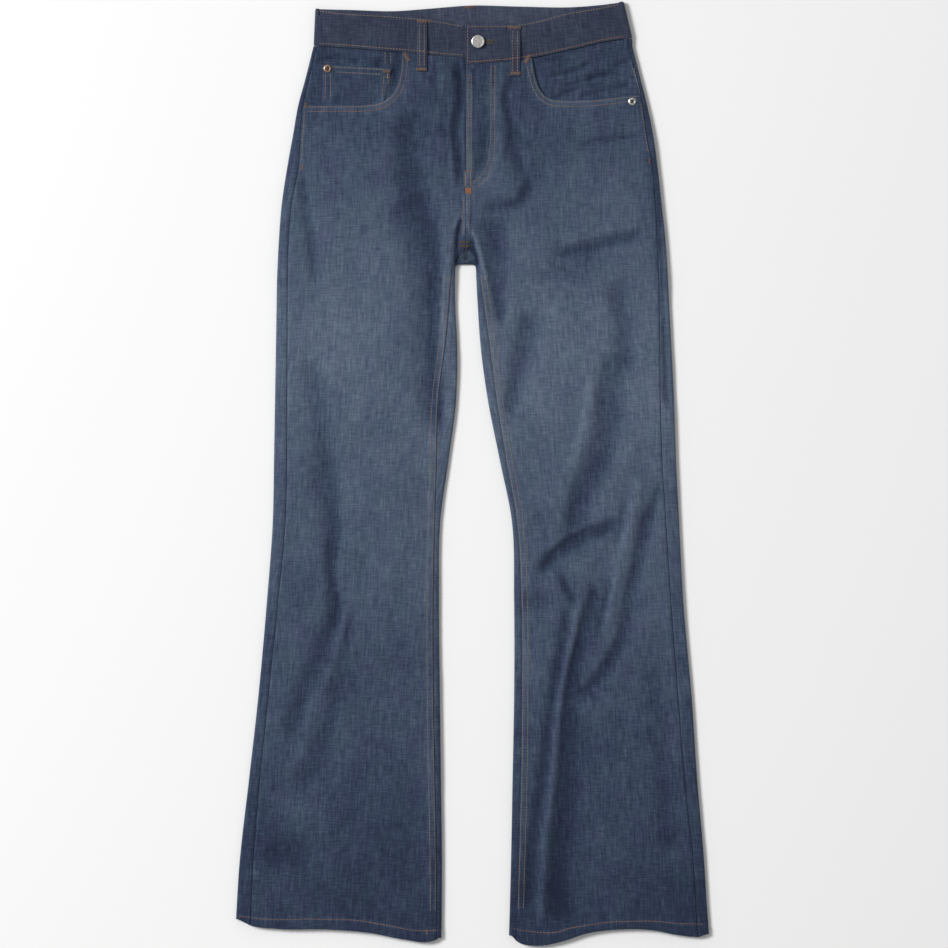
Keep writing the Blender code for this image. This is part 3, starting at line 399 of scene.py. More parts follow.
flyStitch = ((22.4, 486.5), (22.0, 440), (21.4, 395), (19.2, 374.5), (12.0, 356.0), (-1.0, 344.5))
flyStitchOut = ((26.8, 486.5), (26.6, 440), (26.5, 395), (24.6, 371.5), (16.4, 350.0), (-0.4, 338.6))
stitchLines = [  # the thread, the side of the cloth, and the line
    ("rust", "top", evenly(hemStitchRight, 40)),
    ("rust", "top", evenly(hemStitchLeft, 40)),
    ("rust", "under", evenly(hemStitchRight, 40)),
    ("rust", "under", evenly(hemStitchLeft, 40)),
    ("tan", "top", evenly(flyStitch, 40)),
    ("tan", "top", evenly(flyStitchOut, 40)),
    ("tan", "top", straightLine((-5.2, 476), (-5.0, 359))),
    ("tan", "top", straightLine((-1.4, 476), (-1.2, 355))),
    ("tan", "top", straightLine((-9.9, 330), (-12.4, 281))),
    ("tan", "top", straightLine((-3.2, 330), (-4.6, 281))),
    ("olive", "top", straightLine((-11.4, 268.2), (-11.2, 252.5))),
    ("olive", "top", straightLine((-7.6, 268.2), (-7.6, 252))),
    ("tan", "top", acrossLine(bandFootRight, 3.0, -183, -10)),
    ("tan", "top", acrossLine(bandTopRight, -2.6, -183, -10)),
    ("rust", "top", acrossLine(bandFootLeft, 2.8, -6, 184)),
    ("tan", "top", acrossLine(bandTopLeft, -2.6, -6, 176)),
    ("tan", "top", straightLine((-5.6, 488.6), (-5.6, 532))),
    ("tan", "under", acrossLine(bandFootBack, 3.0, -184, 185)),
    ("tan", "under", acrossLine(bandTopBack, -2.6, -182, 175)),
    ("rust", "top", scoopLine("right", -2.0)[2:-2]),
    ("rust", "top", scoopLine("right", -7.2)[2:-2]),
    ("tan", "top", scoopLine("left", -2.2)[2:-3]),
    ("tan", "top", scoopLine("left", -7.2)[2:-3]),
    ("tan", "top", outseamLine("right", 3.2, 432, 366)),
    ("tan", "top", outseamLine("left", 1.8, 441, 371)),
    ("tan", "top", outseamLine("left", 2.0, 490, 455)),
    ("tan", "under", straightLine((centreX - 2.4, 500), (centreX - 2.4, 252))),
    ("tan", "under", straightLine((centreX - 7.4, 500), (centreX - 7.4, 254))),
]
for word in legsOf:
    for offset in (1.5, 7.5):
        stitchLines.append(("tan", "top", inseamLine(word, offset, -532, 236)))
    side = legsOf[word]["side"]
    for offset in (1.6, 7.6):  # the yoke's seam, on the underside
        stitchLines.append(("tan", "under", np.array([
            (centreX + side * 3, yokeCentreY + offset), (side * 195, yokeSideY - 1 + offset)])))
coinLines = (
    straightLine((-171.5, 483.9), (-101.0, 480.2)),
    straightLine((-162.0, 477.6), (-106.0, 474.6)),
    straightLine((-174.6, 475.5), (-175.2, 446.0)),
    straightLine((-168.3, 476.5), (-168.9, 445.0)),
    straightLine((-105.0, 473.4), (-107.5, 446.0)),
    straightLine((-98.6, 473.4), (-101.5, 452.0)),
    straightLine((-104.1, 502.5), (-103.4, 486.0)),
    straightLine((-97.6, 502.0), (-97.0, 485.0)),
)
stitchLines += [("tan", "top", line) for line in coinLines]


def puckers(x, y, face="top"):  # the cloth draws in along a line of stitches
    total = np.zeros(x.shape)
    reach = sewing["puckerReach"]
    for index, (_, side, line) in enumerate(stitchLines):
        if side != face:
            continue
        away, place = nearestOn(line, x, y, 4 * reach)[:2]
        (longHeight, longLength), (shortHeight, shortLength) = sewing["longWave"], sewing["shortWave"]
        wave = sewing["evenShare"] + longHeight * np.sin(place * fullTurn / longLength + index)
        wave = wave + shortHeight * np.sin(place * fullTurn / shortLength)
        total -= sewing["pucker"] * wave * hump(away, reach)
    return total


def sewnShare(x, y):  # 1 on a line of stitches on top of the cloth, and 0 away from them
    nearest = np.full(x.shape, farAway)
    for _, side, line in stitchLines:
        if side == "top":
            nearest = np.minimum(nearest, nearestOn(line, x, y, 3.4 * sewing["rubbedReach"])[0])
    return hump(nearest, sewing["rubbedReach"])


# The height of the cloth.
foldLines = {fold[0]: evenly(fold[0], 20) for fold in folds}


def foldHeight(fold, x, y):
    guide, reach, rise, lean = fold
    line = foldLines[guide]
    away, place, hand = nearestOn(line, x, y, 3 * np.max(reach))
    total = float(lengthsAlong(line)[-1])
    taper = ramp(place, *cloth["foldTaper"]) * ramp(total - place, *cloth["foldTaper"])
    first, last = np.broadcast_to(reach, 2)
    width = (first + (last - first) * place / total) * (1 + 0.5 * lean * hand)
    return rise * taper * hump(away, width)


def floorHeight(y):
    return between(cloth["restHeight"], cloth["seatHeight"], ramp(y, *cloth["seatStart"]))


def innerDistance(leg, x, y):  # from the leg's inner edge, or from the fork above it
    beyond = np.abs(x - onLeg(leg, "inner", np.minimum(y, forkStart)))
    aside = np.abs(x - centreX) - forkHalfGap
    above = np.hypot(np.maximum(aside, 0.0), y - crotchY)
    return np.where(y < forkStart, beyond, np.where(y < crotchY, np.abs(aside), above))


def allFolds(x, y):
    total = sum(foldHeight(fold, x, y) for fold in folds) * cloth["foldGain"]
    total = np.where(total < 0, cloth["deepest"] * np.tanh(total / cloth["deepest"]),
                     cloth["highest"] * np.tanh(total / cloth["highest"]))
    return total


fork = {
    "edges": ((crotchY, -20.5, 9.0), (260, -20.4, 7.0), (271, -20.2, 3.6), (285, -19.0, -1.6),
              (297, -16.0, -7.0)),  # y, and x of its right and left edge
    "rightEdge": (-1.5, 2.5),  # from where the cloth starts to sink to its whole depth
    "leftEdge": (-3.5, 1.5),
    "foot": (236.0, 250.0),
    "top": (286.0, 300.0),
}
fell = {"x": -6.5, "fromY": 330.0, "lean": 0.055, "rightEdge": (-5.0, -4.3), "leftEdge": (4.2, 5.4),
        "rise": 0.6, "forkRise": 1.4, "fade": 4.0}


def forkHollow(x, y):  # the share of its depth that the cloth sinks in the fork, between its two edges
    ys, rights, lefts = [listed(fork["edges"], place) for place in range(3)]
    inside = (ramp(x - smoothThrough(ys, rights, y), *fork["rightEdge"])
              * (1 - ramp(x - smoothThrough(ys, lefts, y), *fork["leftEdge"])))
    return inside * (1 - ramp(y, *fork["top"])) * ramp(y, *fork["foot"])


def riseFell(x, y):  # the seam below the fly, two layers thick, which leans to the right
    fromMiddle = x - fell["x"] + fell["lean"] * (fell["fromY"] - y)
    raised = ramp(fromMiddle, *fell["rightEdge"]) * (1 - ramp(fromMiddle, *fell["leftEdge"]))
    raised = raised * (fell["rise"] + fell["forkRise"] * forkHollow(x, y))
    return raised * (1 - ramp(y, flyBaseY - fell["fade"], flyBaseY + fell["fade"]))


relief = {
    "bandFade": 16.0,       # the folds fade out towards the waistband
    "bandGap": 8.0,
    "dipReach": 1.2,
    "fellStart": (-0.5, 0.4),
    "fellEnd": (-0.6, 0.8),
    "inseamTop": (214.0, 240.0),
    "pressed": 0.3,         # the allowances show through beside the outseam
    "pressedAt": 5.0,
    "pressedReach": 4.0,
    "flyReach": 24.0,
    "underFly": 0.6,        # and the right front lies lower beside it
    "underFlyReach": 10.0,
    "flyFoot": (-12.0, 6.0),
    "hemEnd": (-0.2, 2.2),
    "hemRound": 0.6,
    "hemRoundReach": 0.9,
    "calm": (4.0, 40.0),    # no hummocks close to the hem
    # each set's rise, size, squeeze along the leg and seed
    "hummocks": ((0.75, 62.0, 0.6, 1), (0.36, 24.0, 0.7, 2), (0.09, 8.0, 1.0, 3)),
}


def legHeight(part, x, y, folded, fine):
    leg = part["leg"]
    outer = np.abs(onLeg(leg, "outer", y) - x)
    inner = innerDistance(leg, x, y)
    crown = cloth["crown"] * (1 - np.exp(-np.minimum(outer, inner) / cloth["crownReach"]))
    outseam = np.abs(onLeg(leg, "outseam", y) - x)
    inseam = np.where(y < forkY, (x - onLeg(leg, "inseam", y)) * part["side"], farAway)
    height = folded * ramp(np.minimum(outseam, np.abs(inseam)), 0.0, cloth["foldEnd"])
    height = height * np.where(y > crotchY, 1.0, ramp(inner, 0.0, cloth["foldEnd"]))
    if fine:
        felled = ramp(inseam, *relief["fellStart"])
        felled = felled * (1 - ramp(inseam - cloth["fellWidth"], *relief["fellEnd"]))
        dips = hump(outseam, relief["dipReach"]) * np.where(y < waistY, 1.0, 0.0)
        dips = dips + hump(inseam, relief["dipReach"]) * (1 - ramp(y, *relief["inseamTop"]))
        pressed = relief["pressed"] * hump(outseam - relief["pressedAt"], relief["pressedReach"])
        height = height + cloth["fellRise"] * felled - cloth["seamDip"] * dips + pressed
    return cloth["edgeHeight"] + crown + height


def ropedHem(x, y, fromHem, turned):  # the turned hem twists a little, in slanting ropes
    twist = x + cloth["ropeSlant"] * fromHem
    slant = np.sin(twist * fullTurn / cloth["ropeLength"] + 1.5 * softNoise(x, y * 0, 40.0, 5))
    return cloth["roping"] * turned * slant * (0.7 + 0.5 * softNoise(x, y * 0, 25.0, 6))


def topHeight(x, y, fine=True):
    x, y = np.broadcast_arrays(np.asarray(x, float), np.asarray(y, float))
    folded = allFolds(x, y) * ramp(waistY - relief["bandGap"] - y, 0.0, relief["bandFade"])
    right, left = [legHeight(part, x, y, folded, fine) for part in legsOf.values()]
    height = np.where(x < centreX, right, left)
    fromCentre = x - centreX
    lap = np.where(fromCentre >= 0, cloth["flyStep"] * np.exp(-fromCentre / relief["flyReach"]),
                   -relief["underFly"] * np.exp(fromCentre / relief["underFlyReach"]))
    lap = lap * ramp(y - flyBaseY, *relief["flyFoot"])
    fromHem = y - np.where(x < centreX, onLine(hemRight, x), onLine(hemLeft, x))
    turned = 1 - ramp(fromHem - cloth["hemDepth"], *relief["hemEnd"])
    height = height + lap + cloth["hemRise"] * turned + floorHeight(y)
    if fine:
        height = height + ropedHem(x, y, fromHem, turned)
        height = height - relief["hemRound"] * hump(fromHem, relief["hemRoundReach"])
        dip = hump(fromCentre, relief["dipReach"]) * ramp(y - flyBaseY, 0.0, 6.0)
        height = height - cloth["seamDip"] * dip
        height = height - cloth["forkSink"] * forkHollow(x, y) + riseFell(x, y) + puckers(x, y)
        for rise, size, squeeze, seed in relief["hummocks"]:
            height = height + ramp(fromHem, *relief["calm"]) * rise * softNoise(x, y * squeeze, size, seed)
    least = floorHeight(y) + cloth["leastGap"]
    return least + np.logaddexp(0.0, 2 * (height - least)) / 2


def bentToHem(word, x, y):  # rows near the hem bend to its slant
    level = rightLeg[-1][0]
    return y + (onLine(legsOf[word]["hem"], x) - level) * (1 - ramp(y, level, level + cloth["hemBend"]))


def lifted(plan, height):
    return np.concatenate([plan, np.asarray(height)[..., None]], axis=-1)


# How worn the cloth is, with painted highlights on its folds' ridges and painted shade in their valleys,
# round the fork and in the facings' wrinkles.
fadeAndShade = {
    "ridges": 0.045,        # lighter for each millimetre that a fold stands up: wear and a painted highlight
    "valleys": 0.080,       # and darker for each one that it sinks: painted shade
    "fork": 0.33,           # painted shade, darker in the hollow round the fork
    "patches": 0.075,
    "edges": 0.10,
    "creases": 0.17,        # painted shade, darker in the pocket facings' wrinkles
    "sewn": 0.11,           # lighter along the stitches, where the layers rub
}
# how light the cloth is down the legs: each row's y and its tone
toneAlongLegs = ((562, 0.30), (500, 0.36), (445, 0.44), (380, 0.52), (300, 0.66), (200, 0.78), (110, 0.80),
            (20, 0.72), (-100, 0.66), (-190, 0.56), (-270, 0.49), (-380, 0.41), (-500, 0.30), (-562, 0.22))


def wearAndShadeAt(x, y):
    wornAndShaded = onLine(toneAlongLegs, y)
    folded = allFolds(x, y)
    # wear and a painted highlight on the folds' ridges, painted shade in their valleys
    wornAndShaded = wornAndShaded + np.where(folded > 0, fadeAndShade["ridges"], fadeAndShade["valleys"]) * folded
    # painted shade in the hollow round the fork
    wornAndShaded = wornAndShaded - fadeAndShade["fork"] * forkHollow(x, y)
    # painted shade and painted highlights along fine lines
    for line, reach, amount in paintedShades:
        away = nearestOn(evenly(line, 14), x, y, 3 * reach)[0]
        wornAndShaded = wornAndShaded + amount * hump(away, reach)
    wornAndShaded = wornAndShaded + fadeAndShade["patches"] * (softNoise(x, y * 0.6, 55.0, 11) + 0.6 * softNoise(x, y, 18.0, 12))
    return wornAndShaded + fadeAndShade["sewn"] * sewnShare(x, y)


# Materials.
def addNode(tree, kind, inputs=(), **settings):
    node = tree.nodes.new("ShaderNode" + kind)
    for name, value in settings.items():
        setattr(node, name, value)
    for name, value in dict(inputs).items():
        if isinstance(value, bpy.types.NodeSocket):
            tree.links.new(value, node.inputs[name])
        else:
            node.inputs[name].default_value = value
    return node


def mathNode(tree, operation, first, second, third=None):
    inputs = {0: first, 1: second}
    if third is not None:
        inputs[2] = third
    return addNode(tree, "Math", inputs, operation=operation).outputs[0]


def newMaterial(name, roughness, metallic=0.0, specular=0.5):
    material = bpy.data.materials.new(name)
    material.use_nodes = True
    shader = material.node_tree.nodes["Principled BSDF"]
    shader.inputs["Roughness"].default_value = roughness
    shader.inputs["Metallic"].default_value = metallic
    shader.inputs["Specular IOR Level"].default_value = specular
    return material, material.node_tree, shader


def colourRamp(tree, tone, stops):
    colours = addNode(tree, "ValToRGB", {"Fac": tone})
    ends = colours.color_ramp.elements
    for end, (place, colour) in ((ends[0], stops[0]), (ends[1], stops[-1])):
        end.position = place
        end.color = (*colour, 1.0)
    for place, colour in stops[1:-1]:
        ends.new(place).color = (*colour, 1.0)
    return colours


def stretchedNoise(tree, where, across, along, detail=2.0, turn=0.0):
    mapped = addNode(tree, "Mapping", {"Vector": where, "Scale": (1 / (across * mm), 1 / (along * mm), 1.0),
                                       "Rotation": (0.0, 0.0, turn)})
    return addNode(tree, "TexNoise", {"Vector": mapped.outputs[0], "Scale": 1.0, "Detail": detail}).outputs[0]


yarns = {  # width and length of each grain in the colour, in millimetres, and its detail
    "warp": (1.55, 20.0),
    "weft": (15.0, 1.55),
    "longWarp": (3.0, 55.0),
    "speck": (0.8, 0.8),
    "mottle": (6.0, 9.0, 3.0),
    "cloud": (38.0, 60.0, 3.0),
}


def denimMaterial(name, look):
    material, tree, shader = newMaterial(name, 0.9, specular=0.22)
    shader.inputs["Sheen Weight"].default_value = look["sheen"]
    shader.inputs["Sheen Roughness"].default_value = 0.55
    shader.inputs["Sheen Tint"].default_value = (0.72, 0.80, 1.0, 1.0)
    where = addNode(tree, "UVMap", uv_map="cloth").outputs[0]
    # wear with painted shade and highlights, read from each piece's attribute
    wornAndShaded = addNode(tree, "Attribute", attribute_name="wearAndShade").outputs["Fac"]
    grains = {grain: stretchedNoise(tree, where, *size) for grain, size in yarns.items()}
    tint = stretchedNoise(tree, where, 26.0, 42.0, 2.0, 0.3)
    turned = addNode(tree, "Mapping", {"Vector": where, "Rotation": (0.0, 0.0, look["twillTurn"])})
    twill = addNode(tree, "TexWave", {"Vector": turned.outputs[0], "Scale": 0.314 / (look["twillPitch"] * mm),
                                      "Distortion": 1.2, "Detail": 1.0, "Detail Scale": 1.5},
                    bands_direction="X").outputs[1]
    tone = wornAndShaded
    for grain, part in {**grains, "twill": twill}.items():
        amount = look[grain]
        tone = mathNode(tree, "MULTIPLY_ADD", part, amount, mathNode(tree, "SUBTRACT", tone, amount / 2))
    colours = colourRamp(tree, tone, look["colours"])
    hue = mathNode(tree, "MULTIPLY_ADD", tint, look["tint"], 0.5 - look["tint"] / 2)
    tinted = addNode(tree, "HueSaturation", {"Hue": hue, "Color": colours.outputs[0]})
    tree.links.new(tinted.outputs[0], shader.inputs["Base Color"])
    weft = mathNode(tree, "MULTIPLY", grains["weft"], 0.5)
    weave = mathNode(tree, "MULTIPLY_ADD", grains["warp"], 0.7, weft)
    weave = mathNode(tree, "MULTIPLY_ADD", twill, 0.55, weave)
    bump = addNode(tree, "Bump", {"Height": weave, "Strength": look["bump"], "Distance": 0.35 * mm})
    tree.links.new(bump.outputs[0], shader.inputs["Normal"])
    return material


indigo = ((0.0, (0.008, 0.014, 0.036)), (0.3, (0.023, 0.036, 0.072)), (0.5, (0.042, 0.062, 0.107)),
          (0.75, (0.071, 0.098, 0.150)), (1.0, (0.118, 0.154, 0.212)))
legLook = {
    "colours": indigo,
    "sheen": 0.16,
    "twillTurn": math.radians(-28),
    "twillPitch": 1.1,
    "twill": 0.10,
    "warp": 0.66,
    "weft": 0.58,
    "longWarp": 0.34,
    "speck": 0.40,
    "mottle": 0.31,
    "cloud": 0.24,
    "tint": 0.065,
    "bump": 0.35,
}
reverseLook = dict(legLook, colours=((0.0, (0.07, 0.09, 0.13)), (0.5, (0.16, 0.19, 0.25)),
                                     (1.0, (0.30, 0.34, 0.40))), twillTurn=math.radians(28))
bandLook = dict(legLook, colours=((0.0, (0.007, 0.010, 0.024)), (0.3, (0.017, 0.023, 0.045)),
                                  (0.5, (0.029, 0.037, 0.066)), (0.75, (0.050, 0.061, 0.098)),
                                  (1.0, (0.085, 0.10, 0.145))), twillTurn=math.radians(62))
pocketLook = dict(legLook, cloud=0.10)


def threadMaterial(name, colour):
    material, tree, shader = newMaterial(name, 0.62, specular=0.35)
    shader.inputs["Sheen Weight"].default_value = 0.2
    where = addNode(tree, "TexCoord").outputs["Object"]
    ply = addNode(tree, "TexNoise", {"Vector": where, "Scale": 1800.0, "Detail": 2.0}).outputs[0]
    batch = addNode(tree, "TexNoise", {"Vector": where, "Scale": 55.0, "Detail": 1.0}).outputs[0]
    tone = mathNode(tree, "MULTIPLY_ADD", ply, 0.6, mathNode(tree, "MULTIPLY_ADD", batch, 0.7, -0.15))
    dark, light = [tuple(channel * part for channel in colour) for part in (0.55, 1.35)]
    colours = colourRamp(tree, tone, ((0.2, dark), (0.8, light)))
    tree.links.new(colours.outputs[0], shader.inputs["Base Color"])
    bump = addNode(tree, "Bump", {"Height": ply, "Strength": 0.5, "Distance": 0.12 * mm})
    tree.links.new(bump.outputs[0], shader.inputs["Normal"])
    return material


def metalMaterial(name, clean, tarnish, roughness):
    material, tree, shader = newMaterial(name, roughness, metallic=1.0)
    where = addNode(tree, "TexCoord").outputs["Object"]
    stain = addNode(tree, "TexNoise", {"Vector": where, "Scale": 420.0, "Detail": 4.0}).outputs[0]
    grain = addNode(tree, "TexNoise", {"Vector": where, "Scale": 2600.0, "Detail": 2.0}).outputs[0]
    colours = colourRamp(tree, stain, ((0.35, tarnish), (0.55, clean)))
    tree.links.new(colours.outputs[0], shader.inputs["Base Color"])
    rough = mathNode(tree, "MULTIPLY_ADD", stain, 0.25, roughness - 0.12)
    tree.links.new(rough, shader.inputs["Roughness"])
    bump = addNode(tree, "Bump", {"Height": grain, "Strength": 0.25, "Distance": 0.1 * mm})
    tree.links.new(bump.outputs[0], shader.inputs["Normal"])
    return material


legDenim = denimMaterial("legDenim", legLook)
reverseDenim = denimMaterial("reverseDenim", reverseLook)
bandDenim = denimMaterial("bandDenim", bandLook)
pocketDenim = denimMaterial("pocketDenim", pocketLook)
threads = {
    "tan": threadMaterial("tanThread", (0.205, 0.142, 0.105)),
    "rust": threadMaterial("rustThread", (0.220, 0.110, 0.068)),
    "clay": threadMaterial("clayThread", (0.150, 0.090, 0.066)),
    "bright": threadMaterial("brightThread", (0.33, 0.145, 0.075)),
    "olive": threadMaterial("oliveThread", (0.080, 0.060, 0.040)),
}
nickel = metalMaterial("nickel", (0.82, 0.81, 0.78), (0.55, 0.54, 0.52), 0.30)
copper = metalMaterial("copper", (0.40, 0.27, 0.21), (0.22, 0.13, 0.09), 0.42)
# a near-black metal that paints shade into the rivets' dimples
dimpleShadeMetal = metalMaterial("dimpleShadeMetal", (0.09, 0.08, 0.075), (0.05, 0.04, 0.035), 0.5)
print("materials made")


# Cloth from rows of points.
def finishPiece(piece, replaced):
    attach(piece, "root")
    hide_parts(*replaced)
    return piece


def makeCloth(name, grid, uv, wearAndShade, wall, material, replaced, faceUp=True, reverse=reverseDenim):
    rows, columns = grid.shape[:2]
    index = np.arange(rows * columns).reshape(rows, columns)
    corners = [index[:-1, :-1], index[:-1, 1:], index[1:, 1:], index[1:, :-1]]
    faces = np.stack(corners if faceUp else corners[::-1], axis=-1).reshape(-1, 4)
    mesh = bpy.data.meshes.new(name)
    mesh.from_pydata(grid.reshape(-1, 3) * mm, [], faces)
    layer = mesh.uv_layers.new(name="cloth")
    loopPoints = np.empty(len(mesh.loops), dtype=np.int32)
    mesh.loops.foreach_get("vertex_index", loopPoints)
    layer.data.foreach_set("uv", (uv.reshape(-1, 2)[loopPoints] * mm).ravel())
    # the tone attribute: wear, with painted shade and highlights
    wornAndShaded = mesh.attributes.new("wearAndShade", "FLOAT", "POINT")
    wornAndShaded.data.foreach_set("value", wearAndShade.ravel().astype(np.float32))
    mesh.materials.append(material)
    mesh.materials.append(reverse)
    mesh.shade_smooth()
    piece = bpy.data.objects.new(name, mesh)
    bpy.context.scene.collection.objects.link(piece)
    thickness = piece.modifiers.new("wall", "SOLIDIFY")
    thickness.thickness = wall * mm
    thickness.offset = -1.0
    thickness.use_even_offset = False
    thickness.material_offset = 1
    bpy.context.view_layer.objects.active = piece
    bpy.ops.object.modifier_apply(modifier="wall")
    return finishPiece(piece, replaced)


def nearEdges(count, close):  # shares across a panel, with extra ones close to both ends
    inside = np.linspace(0.0, 1.0, count)[1:-1]
    return np.concatenate([[0.0], close, inside, 1 - np.array(close)[::-1], [1.0]])


def blendPatch(bottom, top, left, right, across, up):
    across, up = across[None, :, None], up[:, None, None]
    ends = between(bottom[None], top[None], up)
    sides = between(left[:, None], right[:, None], across)
    corners = between(*[between(bottom[end], top[end], up) for end in (0, -1)], across)
    return ends + sides - corners


def alongAt(line, shares):  # points on a polyline at shares of its length
    lengths = lengthsAlong(line)
    places = np.asarray(shares) * lengths[-1]
    return np.stack([np.interp(places, lengths, line[:, axis]) for axis in (0, 1)], axis=1)


grainLean = 0.05
grainStart = {  # where each piece lies on the roll of cloth, so that no two have the same grain
    "front_right": 0,
    "front_left": 700,
    "back_right": 1400,
    "back_left": 2100,
    "waistband": 3000,
    "loop_front": 4000,
    "loop_back": 4300,
}


def grainUv(word, plan):  # the straight grain runs down the middle of each leg
    x, y = plan[..., 0], plan[..., 1]
    drift = np.minimum(y - splitY, 0.0) * legsOf[word]["side"] * grainLean
    return np.stack([x + drift + grainStart["front_" + word], y], axis=-1)


front = {
    "columns": 84,          # evenly spaced columns across a panel
    "close": (0.0028, 0.0062, 0.011),
    "scoopShare": 0.70,     # share of the top edge's columns that end at the pocket opening
    "hipStep": 3.0,
    "turned": 0.35,         # the pocket opening's edge is two layers thick
    "turnedAt": 4.0,
    "turnedReach": 3.5,
    "edgeRound": 0.75,
    "edgeReach": 0.9,
    "bandDip": 0.9,         # where it runs under the waistband
    "bandReach": 1.6,
    "flat": (0.262, 1.075),
    "area": 0.243,
}


def legRows():
    hemRows = rightLeg[-1][0] + np.array([0.0, 0.5, 1.2, 2.2, 3.6, 5.4, 7.6, 10.0, 11.6, 12.8, 14.2])
    return np.concatenate([hemRows, np.arange(hemRows[-1] + 2.4, splitY, cloth["rowStep"])])


def makeFront(word):
    part = legsOf[word]
    leg, side, foot = part["leg"], part["side"], part["foot"]
    shares = nearEdges(front["columns"], front["close"])
    corner = int(round(front["scoopShare"] * (len(shares) - 1)))
    rows = []
    for y in [*legRows(), splitY]:
        ends = (onLeg(leg, "outseam", y) - side * seamGap / 2,
                (onLeg(leg, "inseam", y) if y < forkY else centreX) + side * seamGap / 2)
        x = ends[0] + (ends[1] - ends[0]) * shares
        rows.append(np.stack([x, bentToHem(word, x, y)], axis=1))
    edge = scoopLine(word, -seamGap / 2)
    edge[0, 0] = onLeg(leg, "outseam", edge[0, 1]) - side * seamGap / 2
    footXs = np.linspace(edge[-1, 0], centreX + side * seamGap / 2, 40)
    footLine = np.stack([footXs, onLine(foot, footXs) - seamGap], axis=1)
    top = np.concatenate([alongAt(edge, shares[:corner] / shares[corner]),
                          alongAt(footLine, (shares[corner:] - shares[corner]) / (1 - shares[corner]))])
    up = nearEdges(int((top[0, 1] - splitY) / front["hipStep"]) + 2, (0.003, 0.008, 0.014))
    leftYs, rightYs = [splitY + (end[1] - splitY) * up for end in (top[0], top[-1])]
    left = np.stack([onLeg(leg, "outseam", leftYs) - side * seamGap / 2, leftYs], axis=1)
    right = np.stack([np.full(len(up), top[-1, 0]), rightYs], axis=1)
    left[-1] = top[0]
    patch = blendPatch(rows[-1], top, left, right, shares, up)
    plan = np.concatenate([np.array(rows[:-1]), patch])
    x, y = plan[..., 0], plan[..., 1]
    away = nearestOn(scoopLine(word, 0.0), x, y, 12.0)[0]
    height = topHeight(x, y) + front["turned"] * hump(away - front["turnedAt"], front["turnedReach"])
    height = height - front["edgeRound"] * hump(away, front["edgeReach"])
    height = height - front["bandDip"] * hump(onLine(foot, x) - y, front["bandReach"])
    wornAndShaded = wearAndShadeAt(x, y) + fadeAndShade["edges"] * hump(away - 1.2, 1.2)
    return makeCloth("panel_front_" + word, lifted(plan, height), grainUv(word, plan), wornAndShaded, cloth["wall"],
                     legDenim, ["front_" + word], faceUp=side < 0)


def rollPoints(edge, outward, height, low, steps=9):
    radius = height / 2
    turns = np.linspace(math.pi / 2, -math.pi / 2, steps + 1)
    plan = np.asarray(edge) + np.array(outward, float) * (radius * (np.cos(turns) - 1))[:, None]
    return lifted(plan, low + radius * (1 + np.sin(turns)))


back = {
    "strip": (0.0, 0.045, 0.11, 0.22, 0.40, 0.62, 0.82),  # columns from the outseam to the rolled side
    "underColumns": 30,
    "flat": (0.315, 1.02),
    "area": 0.285,
    "lap": 0.2,             # how far past the centre each back reaches, so that the seat is closed
    "wander": 0.18,         # the underside isn't quite flat
    "seatStart": 27.0,      # how far below the split its rows open out to the centre
    "seatStep": 3.4,
    "seatPucker": 0.6,
    "darker": 0.05,         # less worn than the front
}
forkTurns = (  # up the inside of the fork: share of its half width, y, and the turn of the edge in degrees
    (0.0, 1.0, forkStart, 90.0),
    (1 / 3, 0.985, 243.6, 78.0),
    (2 / 3, 0.78, 248.4, 26.0),
    (1.0, 0.0, crotchY, 0.0),
)


def outerWrap(word, y):
    part = legsOf[word]
    leg, side = part["leg"], part["side"]
    edgeX = float(onLeg(leg, "outer", y))
    edge = np.array([edgeX, bentToHem(word, edgeX, y)])
    seamX = float(onLeg(leg, "outseam", y)) + side * seamGap / 2
    seam = np.array([seamX, bentToHem(word, seamX, y)])
    low = float(floorHeight(edge[1]))
    start = edge - [side * cloth["edgeHeight"] / 2, 0.0]
    height = float(topHeight(*start)) - low
    roll = rollPoints(edge, (side, 0.0), height, low)
    shares = np.array(back["strip"])[:, None]
    plan = seam * (1 - shares) + roll[0, :2] * shares
    strip = lifted(plan, topHeight(plan[:, 0], plan[:, 1]))
    return np.concatenate([strip, roll])


def innerWrap(edge, outward, seam):
    low = float(floorHeight(edge[1]))
    start = np.array(edge) - np.array(outward) * cloth["edgeHeight"] / 2
    height = float(topHeight(*start)) - low
    roll = rollPoints(edge, outward, height, low)[::-1]
    shares = 1 - np.array(back["strip"])[::-1][:, None]
    plan = roll[-1, :2] * (1 - shares) + np.array(seam) * shares
    strip = lifted(plan, topHeight(plan[:, 0], plan[:, 1]))
    return np.concatenate([roll, strip])


def underside(word, start, end, rowY=None):
    plan = np.linspace(start[:2], end[:2], back["underColumns"] + 1)[1:-1]
    if rowY is not None:
        plan[:, 1] = bentToHem(word, plan[:, 0], rowY)
    x, y = plan[:, 0], plan[:, 1]
    middle = np.sin(np.pi * np.linspace(0, 1, len(plan) + 2)[1:-1])
    wander = back["wander"] * (1 + softNoise(x, y, 40.0, 21)) * middle
    return lifted(plan, floorHeight(y) + wander - back["seatPucker"] * puckers(x, y, "under"))


def seatRow(outer, end, count):  # across the underside, from the rolled side to the centre
    plan = np.linspace(outer[-1, :2], end, count)[1:]
    height = floorHeight(plan[:, 1]) - back["seatPucker"] * puckers(plan[:, 0], plan[:, 1], "under")
    return np.concatenate([outer, lifted(plan, height)])


def rowUv(word, grid):  # widths along each row, lengths along the leg
    steps = np.linalg.norm(np.diff(grid, axis=1), axis=2)
    across = np.concatenate([np.zeros((len(grid), 1)), np.cumsum(steps, axis=1)], axis=1)
    return np.stack([across + grainStart["back_" + word], grid[..., 1]], axis=-1)


